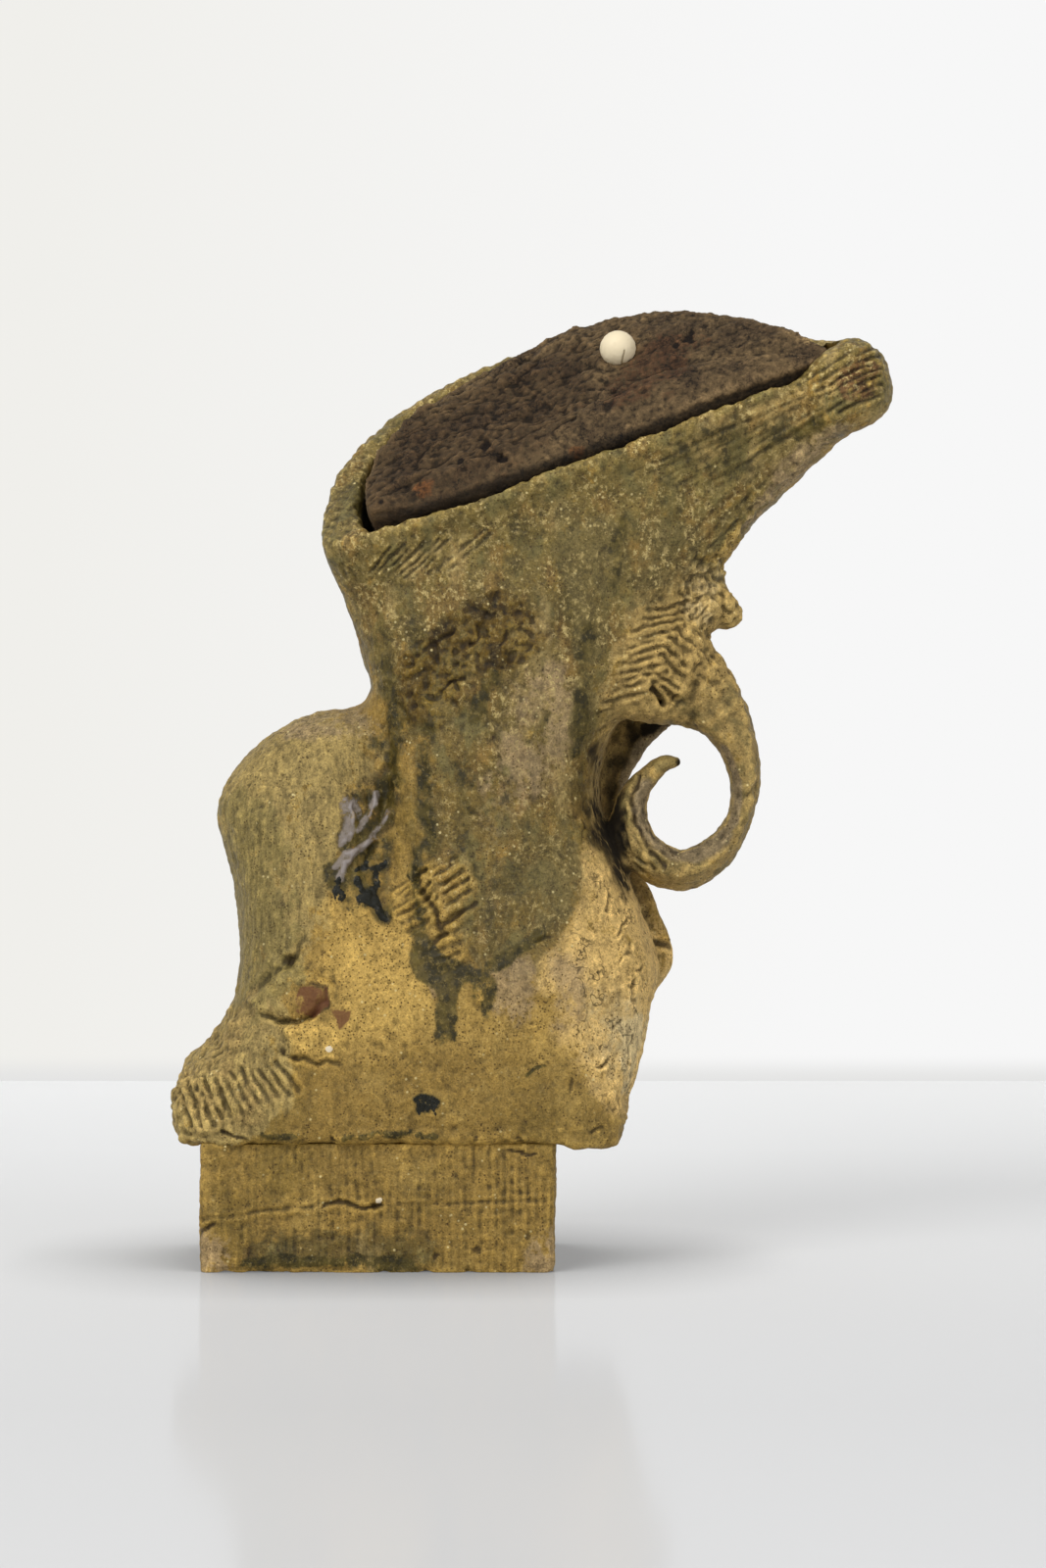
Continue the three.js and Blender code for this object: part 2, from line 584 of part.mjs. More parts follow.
function buildBody(shell) {
  const above = keep(shell, Z, SKIRT_SEAM_Z + JOINT / 2);
  const belt = keep(above, Z.clone().negate(), -NECK_SEAM_Z + JOINT / 2);
  const crease = creasePlane();
  const [column, shoulder] = parted(belt, crease.direction, crease.distance);
  const [back, front] = parted(column, Y, FRONT_BACK_SEAM_Y);
  addPiece("body_front_sheet", front, CLAY);
  addPiece("body_back_sheet", back, CLAY);
  const [shoulderBack, shoulderFront] = parted(shoulder, Y, FRONT_BACK_SEAM_Y);
  addPiece("shoulder_front_pouch", shoulderFront, CLAY);
  addPiece("shoulder_back_pouch", shoulderBack, CLAY);
}

function buildNeckAndMouth(shell) {
  const above = keep(shell, Z, NECK_SEAM_Z + JOINT / 2);
  const seam = OUT.dot(mouthPoint(0, 0, -MOUTH_SEAM_DEPTH));
  const [mouth, neck] = parted(above, OUT, seam);
  const [neckBack, neckFront] = parted(neck, Y, FRONT_BACK_SEAM_Y);
  addPiece("neck_front_sheet", neckFront, CLAY);
  addPiece("neck_back_sheet", neckBack, CLAY);
  const beakSeam = ALONG.dot(mouthPoint(BEAK_SEAM_ALONG, 0, 0));
  const walls = keep(mouth, ALONG.clone().negate(), -beakSeam + JOINT / 2);
  const [mouthBack, mouthFront] = parted(walls, Y, FRONT_BACK_SEAM_Y);
  addPiece("mouth_front_wall", mouthFront, CLAY);
  addPiece("mouth_back_wall", mouthBack, CLAY);
  buildBeakTip(keep(shell, ALONG, beakSeam + JOINT / 2), beakSeam);
}

// A rounded lump: an ellipsoid where square is 2, and a cushion where it is more
function lump(radii, centre, square = 2, pitch = 0) {
  const ball = withoutExtras(new THREE.SphereGeometry(1, 18, 12));
  const place = ball.getAttribute("position");
  for (let i = 0; i < place.count; i++) {
    const point = new THREE.Vector3().fromBufferAttribute(place, i);
    const reach = point.toArray().reduce((sum, v) => sum + Math.abs(v) ** square, 0) ** (-1 / square);
    place.setXYZ(i, ...point.multiplyScalar(reach));
  }
  return solidOf(ball).scale(radii).rotate(0, pitch, 0).translate(centre);
}

function withoutExtras(geometry) {
  geometry.deleteAttribute("normal");
  geometry.deleteAttribute("uv");
  return mergeVertices(geometry, 1e-4);
}

function buildBeakTip(shellEnd, beakSeam) {
  const radii = [BEAK_HALF_LENGTH, BEAK_HALF_DEPTH, BEAK_HALF_HEIGHT];
  const middle = mouthPoint(BEAK_ALONG, -BEAK_NEARER, -BEAK_BELOW);
  const nose = lump(radii, middle.toArray(), BEAK_SQUARENESS, -MOUTH_RISE_DEG);
  const joined = shellEnd.add(keep(nose, ALONG, beakSeam + JOINT / 2));
  addPiece("beak_tip", joined.subtract(mouthPassage()), CLAY);
}

// Coils luted inside the mouth for the lid to stand on
function buildLedge() {
  const top = -LID_DEPTH - LID_SEAT_GAP;
  const cavity = columnInner(WALL + JOINT);
  const inside = even(-LEDGE_WIDTH);
  const open = loft([top - 3 * LEDGE_THICKNESS, 0].map((out) => leafRing(INNER_EDGE, out, inside)));
  const layer = keep(keep(cavity, OUT, levelOf(top - LEDGE_THICKNESS)), OUT.clone().negate(), -levelOf(top));
  const ring = layer.subtract(open);
  const from = ALONG.dot(mouthPoint(LEDGE_FROM, 0, 0));
  const to = ALONG.dot(mouthPoint(LEDGE_TO, 0, 0));
  const middle = keep(keep(ring, ALONG, from), ALONG.clone().negate(), -to);
  const split = ACROSS.dot(mouthPoint(0, MOUTH_WIDTH / 2, 0));
  const [far, near] = parted(middle, ACROSS, split);
  addPiece("lid_ledge_front_coil", near, CLAY);
  addPiece("lid_ledge_back_coil", far, CLAY);
}

function levelOf(out) {
  return OUT.dot(mouthPoint(0, 0, out));
}

// Height of the lid's top: its far side swells in the middle and all of it runs down at the beak end
function lidCrown(out) {
  return (share, isFar) => {
    const swell = isFar ? LID_FAR_SWELL * Math.sin(Math.PI * share ** 2.6) : 0;
    return out * (1 - 0.6 * share ** 6) + swell;
  };
}

function buildLid() {
  const round = LID_EDGE_ROUND;
  const rings = [
    leafRing(LID_EDGE, -LID_DEPTH, even(-round)),
    leafRing(LID_EDGE, -LID_DEPTH + round),
    leafRing(LID_EDGE, lidCrown(LID_CROWN - round)),
    leafRing(LID_EDGE, lidCrown(LID_CROWN - round * 0.3), even(-round * 0.3)),
    leafRing(LID_EDGE, lidCrown(LID_CROWN), even(-round)),
    leafRing(LID_EDGE, lidCrown(LID_CROWN + LID_SWELL), even(-4 * round)),
  ];
  const knobOut = LID_CROWN + LID_SWELL + KNOB_RADIUS - KNOB_SINK;
  const centre = mouthPoint(KNOB_ALONG, KNOB_ACROSS, knobOut).toArray();
  const ball = [KNOB_RADIUS, KNOB_RADIUS, KNOB_RADIUS];
  const dimple = ball.map((radius) => radius + JOINT);
  addPiece("lid_slab", loft(rings).subtract(lump(dimple, centre)), LID_CLAY, 0.95, lid);
  addPiece("knob_ball", lump(ball, centre), KNOB_CLAY, 0.4, lid);
}

// An upright ring of a section of the root or the horn, given in shares of a size from a start
function uprightRing({ x, z, high, deep, turn }, start, size, grow = 0) {
  const angle = THREE.MathUtils.degToRad(turn);
  const up = new THREE.Vector3(Math.sin(angle), 0, Math.cos(angle));
  const centre = start.clone().addScaledVector(X, x * size).addScaledVector(Z, z * size);
  return Array.from({ length: HANDLE_SIDES }, (_, i) => {
    const a = (2 * Math.PI * i) / HANDLE_SIDES;
    return centre
      .clone()
      .addScaledVector(Y, (deep * size + grow) * bulge(Math.cos(a), 2.4))
      .addScaledVector(up, (high * size + grow) * bulge(Math.sin(a), 2.4));
  });
}

function handleStart() {
  return new THREE.Vector3(HANDLE_X, HANDLE_Y, MOUTH_Z - HANDLE_BELOW_MOUTH);
}

function handleRoot(grow = 0) {
  return loft(ROOT_SECTIONS.map((section) => uprightRing(section, handleStart(), HANDLE_HEIGHT, grow)));
}

// One size of the curl's sections at a share of its length
function curlSize(key, share) {
  const place = share * (CURL_SECTIONS.length - 1);
  const first = Math.min(Math.floor(place), CURL_SECTIONS.length - 2);
  return THREE.MathUtils.lerp(CURL_SECTIONS[first][key], CURL_SECTIONS[first + 1][key], place - first);
}

function handleCurl() {
  const last = CURL_SECTIONS.length - 1;
  const places = CURL_SECTIONS.map(({ x, z }, i) => {
    const shift = new THREE.Vector3(x * HANDLE_HEIGHT, CURL_END_SHIFT_Y * (i / last) ** 2, z * HANDLE_HEIGHT);
    return handleStart().add(shift);
  });
  const path = new THREE.CatmullRomCurve3(places);
  const rings = Array.from({ length: CURL_STEPS + 1 }, (_, i) => {
    const share = i / CURL_STEPS;
    const direction = path.getTangent(share);
    const twist = THREE.MathUtils.degToRad(curlSize("twist", share));
    const outward = new THREE.Vector3().crossVectors(direction, Y).normalize().applyAxisAngle(direction, twist);
    const width = Y.clone().applyAxisAngle(direction, twist);
    return Array.from({ length: HANDLE_SIDES }, (_, k) => {
      const a = (2 * Math.PI * k) / HANDLE_SIDES;
      return path
        .getPoint(share)
        .addScaledVector(width, HANDLE_HEIGHT * curlSize("wide", share) * bulge(Math.cos(a), 2.6))
        .addScaledVector(outward, HANDLE_HEIGHT * curlSize("thick", share) * bulge(Math.sin(a), 2.6));
    });
  });
  return loft(rings);
}

function buildHandle() {
  const clear = bodyOuter(-JOINT);
  const root = handleRoot().subtract(clear);
  addPiece("handle_root", root, CLAY);
  const curl = handleCurl().subtract(handleRoot(JOINT)).subtract(clear);
  addPiece("handle_curl", curl, CURL_CLAY);
  const radii = [LUG_HALF_WIDTH, LUG_HALF_DEPTH, LUG_HALF_HEIGHT];
  const pad = lump(radii, LUG_CENTRE).subtract(clear).subtract(handleRoot(JOINT));
  addPiece("lug_pad", pad, CLAY);
  const grownPad = lump(radii.map((radius) => radius + JOINT), LUG_CENTRE);
  const lugMiddle = new THREE.Vector3(...LUG_CENTRE);
  const horn = loft(HORN_SECTIONS.map((section) => uprightRing(section, lugMiddle, HORN_LENGTH)));
  addPiece("lug_horn", horn.subtract(clear).subtract(grownPad).subtract(handleRoot(JOINT)), CLAY);
  buildFin("seam_fin_upper", UPPER_FIN_OUTLINE, clear);
  buildFin("seam_fin_lower", LOWER_FIN_OUTLINE, clear);
}

// A torn edge of the back sheet: an upright plate cut to the body's side
function buildFin(name, outline, clear) {
  const corners = outline.map(([x, up]) => new THREE.Vector2(x * BODY_LENGTH, FLOOR_BOTTOM + up * BODY_HEIGHT));
  const shape = new THREE.Shape(corners);
  const geometry = new THREE.ExtrudeGeometry(shape, { depth: FIN_THICKNESS, bevelEnabled: false });
  const plate = solidOf(withoutExtras(geometry)).rotate(90, 0, 0).translate(0, FIN_Y + FIN_THICKNESS, 0);
  addPiece(name, plate.subtract(clear).subtract(handleRoot(JOINT)), CLAY);
}

const shell = buildShell();
buildFoot();
buildFloor();
buildSkirt(shell);
buildBody(shell);
buildNeckAndMouth(shell);
buildLedge();
buildHandle();
buildLid();

// The origin is on the ground, under the middle of the whole jar
const size = new THREE.Box3().setFromObject(jar);
const centre = size.getCenter(new THREE.Vector3());
jar.position.set(-centre.x, -centre.y, -size.min.z);

export default jar;
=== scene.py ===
import math
import time

import bmesh
import bpy
import numpy as np
from mathutils import Matrix, Vector


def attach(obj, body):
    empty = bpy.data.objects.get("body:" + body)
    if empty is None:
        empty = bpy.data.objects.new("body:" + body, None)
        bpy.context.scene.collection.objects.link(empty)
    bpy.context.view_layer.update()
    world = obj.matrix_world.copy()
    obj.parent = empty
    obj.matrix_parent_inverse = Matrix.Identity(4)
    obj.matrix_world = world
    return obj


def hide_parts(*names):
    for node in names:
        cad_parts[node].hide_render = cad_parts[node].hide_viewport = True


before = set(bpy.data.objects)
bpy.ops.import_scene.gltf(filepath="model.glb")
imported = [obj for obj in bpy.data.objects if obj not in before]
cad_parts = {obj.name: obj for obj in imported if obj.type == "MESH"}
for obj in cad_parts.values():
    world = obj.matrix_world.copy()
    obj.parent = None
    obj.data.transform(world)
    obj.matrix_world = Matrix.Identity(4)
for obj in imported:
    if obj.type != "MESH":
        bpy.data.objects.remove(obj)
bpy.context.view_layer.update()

started = time.time()

# Everything below is worked out in millimetres and made in metres
MM = 0.001
ROUGH_GRID = 2.0  # spacing of the skin while the big forms are wiped smooth
CLAY_GRID = 0.8  # and of the jar's finished skin
LID_GRID = 0.9
FOOT_GRID, LEDGE_GRID, BALL_GRID = 0.9, 1.2, 0.45
PLUG_LOW, PLUG_HIGH = 253.0, 259.0  # heights of the clay that stops the waist while forming
NECK_RING = 252.5  # the neck's lowest points lie below this
PLUG_GAP = 4.5  # how far the plug stays inside them
LUTE = 0.36  # each slab is grown by this before luting, which closes the slip joints
SHELL = 2.2  # how much thinner the outside is made to find the hollow below the waist
DRAWN = np.array([68.276, -0.497, 0.0])  # from the jar's own frame to the drawn one of its sections

# The mouth's near left corner and its directions along, across and out, in the drawn frame
MOUTH = np.array([-4.0, -42.0, 319.5])
ALONG = np.array([0.93667, 0.0, 0.35021])
ACROSS = np.array([-0.21561, 0.78801, 0.57668])
OUT = np.array([-0.27597, -0.61566, 0.73811])

# Marks are placed on sheets held up to the jar. The front one is seen from the eye, and its steps
# are the pixels of the photograph, 1067 by 1600
STEP = 0.44
EYE = np.array([-3.376, -1661.5, 212.5])
SHEET_AWAY = 1662.0  # how far from the eye a step on the front sheet is STEP wide
SHEET_MIDDLE = (533.5, 800.0)

X, Y, Z = (1, 0, 0), (0, 1, 0), (0, 0, 1)
FRONT, LEFT, DOWN = (0, -1, 0), (-1, 0, 0), (0, 0, -1)


def report(text):
    print(f"[{time.time() - started:6.1f} s] {text}")


def ease(low, high, value):
    """0 up to low, 1 from high on, and smooth between them."""
    t = np.clip((value - low) / (high - low), 0, 1)
    return t * t * (3 - 2 * t)


def scattered(i, j, k, seed):
    """A fixed number from -1 to 1 for each cell of a grid, as if drawn at random."""
    mixed = (i * 73856093) ^ (j * 19349663) ^ (k * 83492791) ^ ((seed + 11) * 265443576)
    mixed = ((mixed ^ (mixed >> 13)) * 1274126177) & 0xFFFFFFFF
    mixed = ((mixed ^ (mixed >> 15)) * 2246822519) & 0xFFFFFFFF
    return ((mixed ^ (mixed >> 16)) & 0xFFFF) / 32767.5 - 1.0


# Unevenness is turned off the axes, so that its grid doesn't show on upright walls
TILT = np.array(Matrix.Rotation(0.61, 3, Vector((0.3, 0.8, 0.5)).normalized()))


def uneven(co, size, seed=0, octaves=1):
    """Smooth unevenness of about -1 to 1, with lumps of a size, or of three sizes along X, Y and Z."""
    size = np.asarray(size, float)
    p0 = (co @ TILT.T if size.ndim == 0 else co) / size
    total = np.zeros(len(co))
    strength = 1.0
    for octave in range(octaves):
        p = p0 * 2**octave + 17.3 * (seed % 97 + octave)
        cell = np.floor(p).astype(np.int64)
        share = p - cell
        share = share**3 * (share * (share * 6 - 15) + 10)
        for corner in range(8):
            far = np.array([corner & 1, corner >> 1 & 1, corner >> 2 & 1])
            weight = np.prod(np.where(far, share, 1 - share), axis=1)
            total += strength * weight * scattered(*(cell + far).T, seed + 31 * octave)
        strength *= 0.5
    return total * 1.5 / (2 - 2 * strength)


def pitted(co, size, seed=0):
    """Distance to the nearest of scattered points, in shares of their spacing."""
    p = co @ TILT.T / size + 5.7 * seed
    cell = np.floor(p).astype(np.int64)
    nearest = np.full(len(co), 9.0)
    for i in (-1, 0, 1):
        for j in (-1, 0, 1):
            for k in (-1, 0, 1):
                near = cell + (i, j, k)
                spot = np.stack([scattered(*near.T, seed + n) for n in (1, 2, 3)], 1) * 0.5 + 0.5
                nearest = np.minimum(nearest, ((near + spot - p) ** 2).sum(1))
    return np.sqrt(nearest)


# Clay


class Clay:
    """One closed skin of quads in millimetres, with what is pressed into it and painted on it."""

    def __init__(self, co, quads):
        self.co = co
        self.quads = quads
        self.start = quads.ravel()
        self.end = np.roll(quads, -1, axis=1).ravel()
        self.valence = np.bincount(self.start, minlength=len(co))
        self.marks = {}
        self.height = np.zeros(len(co))

    @classmethod
    def from_mesh(cls, mesh):
        co = np.empty(len(mesh.vertices) * 3, np.float32)
        mesh.vertices.foreach_get("co", co)
        corners = np.empty(len(mesh.loops), np.int32)
        mesh.loops.foreach_get("vertex_index", corners)
        if len(corners) != 4 * len(mesh.polygons):
            raise RuntimeError("the fused clay isn't all quads")
        return cls(co.reshape(-1, 3).astype(float) / MM, corners.reshape(-1, 4))

    def relief(self, rounds):
        """How far each point stands out from the clay round it, negative where it lies below."""
        level = self.co
        for _ in range(rounds):
            level = self.mean(level)
        return ((self.co - level) * self.normals()).sum(1)

    @property
    def drawn(self):
        """The points in the frame that the jar's sections are drawn in."""
        return self.co + DRAWN

    def mean(self, values):
        """The mean of each point's neighbours."""
        if values.ndim == 2:
            return np.stack([self.mean(column) for column in values.T], axis=1)
        return np.bincount(self.start, values[self.end], len(self.co)) / self.valence

    def wipe(self, rounds, keep=0.0, pull=0.5, push=0.0):
        """Wipes the clay smooth, less where it is kept. A push after a pull keeps it from thinning."""
        free = np.broadcast_to(1.0 - np.asarray(keep, float), len(self.co))[:, None]
        for _ in range(rounds):
            self.co += pull * free * (self.mean(self.co) - self.co)
            if push:
                self.co -= push * free * (self.mean(self.co) - self.co)

    def normals(self):
        a, b, c, d = (self.co[self.quads[:, k]] for k in range(4))
        face = np.cross(c - a, d - b)
        out = np.zeros_like(self.co)
        for k in range(4):
            for axis in range(3):
                out[:, axis] += np.bincount(self.quads[:, k], face[:, axis], len(self.co))
        return out / np.maximum(np.linalg.norm(out, axis=1), 1e-12)[:, None]

    def settle(self):
        """Moves the skin by the heights that were pressed and raised."""
        self.co += self.normals() * self.height[:, None]
        self.height[:] = 0

    def paint(self, mark, weight):
        """Marks each point as far as the weight says, and never less than it is marked already."""
        self.marks[mark] = np.maximum(self.marks.get(mark, 0.0), np.clip(weight, 0, 1))

    def mesh(self, name):
        """The clay as a mesh in metres, with its marks and its own normals as attributes."""
        mesh = bpy.data.meshes.new(name)
        mesh.vertices.add(len(self.co))
        mesh.vertices.foreach_set("co", (self.co * MM).astype(np.float32).ravel())
        mesh.loops.add(self.quads.size)
        mesh.loops.foreach_set("vertex_index", self.quads.ravel())
        mesh.polygons.add(len(self.quads))
        mesh.polygons.foreach_set("loop_start", np.arange(0, self.quads.size, 4, dtype=np.int32))
        mesh.update(calc_edges=True)
        skin = mesh.attributes.new("skin", "FLOAT_VECTOR", "POINT")
        skin.data.foreach_set("vector", self.normals().astype(np.float32).ravel())
        for mark, weight in self.marks.items():
            attribute = mesh.attributes.new(mark, "FLOAT", "POINT")
            attribute.data.foreach_set("value", weight.astype(np.float32))
        return mesh


def shown(mesh):
    """A new object in the scene that shows a mesh."""
    obj = bpy.data.objects.new(mesh.name, mesh)
    bpy.context.scene.collection.objects.link(obj)
    return obj


def finished(obj):
    """The mesh of an object with its modifiers worked in."""
    depsgraph = bpy.context.evaluated_depsgraph_get()
    return bpy.data.meshes.new_from_object(obj.evaluated_get(depsgraph))


def skinned(mesh, grid):
    """A closed mesh, or several that overlap, as clay with an even skin."""
    obj = shown(mesh)
    remesh = obj.modifiers.new("skin", "REMESH")
    remesh.mode = "VOXEL"
    remesh.voxel_size = grid * MM
    remesh.adaptivity = 0
    made = finished(obj)
    bpy.data.objects.remove(obj)
    bpy.data.meshes.remove(mesh)
    clay = Clay.from_mesh(made)
    bpy.data.meshes.remove(made)
    return clay


def lump(spheres):
    """A lump of clay drawn tight round some spheres: (drawn place, radius)."""
    bm = bmesh.new()
    for place, radius in spheres:
        at = Matrix.Translation((Vector(place) - Vector(DRAWN)) * MM)
        bmesh.ops.create_icosphere(bm, subdivisions=3, radius=radius * MM, matrix=at)
    hull = bmesh.ops.convex_hull(bm, input=bm.verts)
    inner = {item for item in hull["geom_interior"] if isinstance(item, bmesh.types.BMVert)}
    bmesh.ops.delete(bm, geom=list(inner), context="VERTS")
    kept = {item for item in hull["geom"] if isinstance(item, bmesh.types.BMFace)}
    bmesh.ops.delete(bm, geom=[face for face in bm.faces if face not in kept], context="FACES_ONLY")
    bmesh.ops.recalc_face_normals(bm, faces=bm.faces)
    mesh = bpy.data.meshes.new("lump")
    bm.to_mesh(mesh)
    bm.free()
    return mesh


def waist_plug():
    """Clay that stops the waist, so that the belly's hollow is a skin of its own."""
    points = []
    for node in ("neck_front_sheet", "neck_back_sheet"):
        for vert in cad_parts[node].data.vertices:
            if vert.co.z < NECK_RING * MM:
                points.append(vert.co.xy)
    middle = sum(points, Vector((0, 0))) / len(points)
    bm = bmesh.new()
    for point in points:
        place = middle + (point - middle) * (1 - PLUG_GAP * MM / (point - middle).length)
        for z in (PLUG_LOW, PLUG_HIGH):
            bm.verts.new((*place, z * MM))
    hull = bmesh.ops.convex_hull(bm, input=bm.verts)
    bmesh.ops.delete(bm, geom=list({*hull["geom_interior"], *hull["geom_unused"]}), context="VERTS")
    bmesh.ops.recalc_face_normals(bm, faces=bm.faces)
    mesh = bpy.data.meshes.new("plug")
    bm.to_mesh(mesh)
    bm.free()
    return mesh


def luted(name, nodes, grow=LUTE, more=()):
    """Copies of CAD nodes, grown until they overlap, in one mesh with further meshes."""
    together = bmesh.new()
    for mesh in more:
        together.from_mesh(mesh)
        bpy.data.meshes.remove(mesh)
    for node in nodes:
        part = bmesh.new()
        part.from_mesh(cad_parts[node].data)
        bmesh.ops.remove_doubles(part, verts=part.verts, dist=2e-6)
        part.normal_update()
        for vert in part.verts:
            vert.co += vert.normal * grow * MM
        mesh = bpy.data.meshes.new("part")
        part.to_mesh(mesh)
        part.free()
        together.from_mesh(mesh)
        bpy.data.meshes.remove(mesh)
    mesh = bpy.data.meshes.new(name)
    together.to_mesh(mesh)
    together.free()
    mesh.materials.clear()
    return mesh


# Cutting clay into its pieces


def prism(corners, low, high):
    """A closed cutter: corners in the drawn XZ plane, between two drawn Y levels."""
    bm = bmesh.new()
    ends = []
    for y in (low, high):
        places = [(Vector((x, y, z)) - Vector(DRAWN)) * MM for x, z in corners]
        ends.append([bm.verts.new(place) for place in places])
    count = len(corners)
    bm.faces.new(ends[0])
    bm.faces.new(reversed(ends[1]))
    for i in range(count):
        bm.faces.new((ends[0][i], ends[1][i], ends[1][(i + 1) % count], ends[0][(i + 1) % count]))
    bmesh.ops.recalc_face_normals(bm, faces=bm.faces)
    mesh = bpy.data.meshes.new("cutter")
    bm.to_mesh(mesh)
    bm.free()
    return shown(mesh)


def half_space(place, direction):
    """A cutter that holds everything on the side of a drawn plane that the direction points to."""
    bm = bmesh.new()
    bmesh.ops.create_cube(bm, size=2.0)
    turn = Vector(direction).to_track_quat("Z", "Y").to_matrix().to_4x4()
    origin = (Vector(place) - Vector(DRAWN)) * MM
    placed = Matrix.Translation(origin) @ turn @ Matrix.Translation(Z)
    bmesh.ops.transform(bm, verts=bm.verts, matrix=placed)
    mesh = bpy.data.meshes.new("cutter")
    bm.to_mesh(mesh)
    bm.free()
    return shown(mesh)


def cut(obj, cutter):
    """Cuts an object in two with a cutter: (the part in it, the rest)."""
    parts = []
    for operation in ("INTERSECT", "DIFFERENCE"):
        knife = obj.modifiers.new("knife", "BOOLEAN")
        knife.operation = operation
        knife.solver = "MANIFOLD"
        knife.object = cutter
        parts.append(shown(finished(obj)))
        obj.modifiers.remove(knife)
    bpy.data.objects.remove(obj)
    bpy.data.objects.remove(cutter)
    return parts


def mend_marks(mesh):
    """Points that a cut made have no marks of their own, so they take the mean of their neighbours'."""
    skin = np.empty(len(mesh.vertices) * 3, np.float32)
    mesh.attributes["skin"].data.foreach_get("vector", skin)
    skin = skin.reshape(-1, 3)
    edges = np.empty(len(mesh.edges) * 2, np.int32)
    mesh.edges.foreach_get("vertices", edges)
    a, b = edges.reshape(-1, 2).T
    known = np.linalg.norm(skin, axis=1) > 0.5
    report(f"  {len(known)} points, {(~known).sum()} without marks")
    columns = [skin[:, 0], skin[:, 1], skin[:, 2]]
    names = [name for name in mesh.attributes.keys() if mesh.attributes[name].data_type == "FLOAT"]
    for name in names:
        values = np.empty(len(known), np.float32)
        mesh.attributes[name].data.foreach_get("value", values)
        columns.append(values)
    table = np.stack(columns, 1)
    for _ in range(3):
        weight = np.bincount(a, known[b], len(known)) + np.bincount(b, known[a], len(known))
        ready = ~known & (weight > 0)
        for column in range(table.shape[1]):
            values = np.where(known, table[:, column], 0)
            total = np.bincount(a, values[b], len(known)) + np.bincount(b, values[a], len(known))
            table[ready, column] = total[ready] / weight[ready]
        known = known | ready
    skin = table[:, :3]
    for name, column in zip(names, range(3, table.shape[1])):
        values = np.ascontiguousarray(table[:, column]).astype(np.float32)
        mesh.attributes[name].data.foreach_set("value", values)
    return skin / np.maximum(np.linalg.norm(skin, axis=1), 1e-9)[:, None]


def piece(obj, name, body, nodes, material):
    """Makes a cut part a piece of the jar, shaded as the whole skin was, and flat on its cuts."""
    mesh = obj.data
    obj.name = mesh.name = name
    mesh.materials.clear()
    mesh.materials.append(material)
    count = len(mesh.polygons)
    mesh.polygons.foreach_set("use_smooth", np.ones(count, bool))
    skin = mend_marks(mesh)
    corners = np.empty(len(mesh.loops), np.int32)
    mesh.loops.foreach_get("vertex_index", corners)
    sides = np.empty(count, np.int32)
    mesh.polygons.foreach_get("loop_total", sides)
    flat = np.empty(count * 3, np.float32)
    mesh.polygons.foreach_get("normal", flat)
    flat = np.repeat(flat.reshape(-1, 3), sides, axis=0)
    shading = skin[corners]
    owner = np.repeat(np.arange(count), sides)
    agree = np.bincount(owner, (shading * flat).sum(1), count) / sides
    area = np.empty(count, np.float32)
    mesh.polygons.foreach_get("area", area)
    on_cut = ((agree < 0.35) & (area > 0.1 * MM * MM))[owner]
    shading[on_cut] = flat[on_cut]
    mesh.normals_split_custom_set(shading.tolist())
    mesh.attributes.remove(mesh.attributes["skin"])
    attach(obj, body)
    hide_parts(*nodes)
    triangles = int((sides - 2).sum())
    report(f"{name}: {triangles} triangles")


# Sheets: where marks go


def distance_to(x, y, a, b):
    """Distance from points to a segment, and how far along it the nearest place is."""
    dx, dy = b[0] - a[0], b[1] - a[1]
    t = np.clip(((x - a[0]) * dx + (y - a[1]) * dy) / max(dx * dx + dy * dy, 1e-9), 0, 1)
    return np.hypot(x - a[0] - t * dx, y - a[1] - t * dy), t


def seed_of(places):
    """A fixed number for a mark, from where it starts and ends."""
    return int(places[0][0] * 7 + places[0][1] * 3 + places[-1][0]) % 89


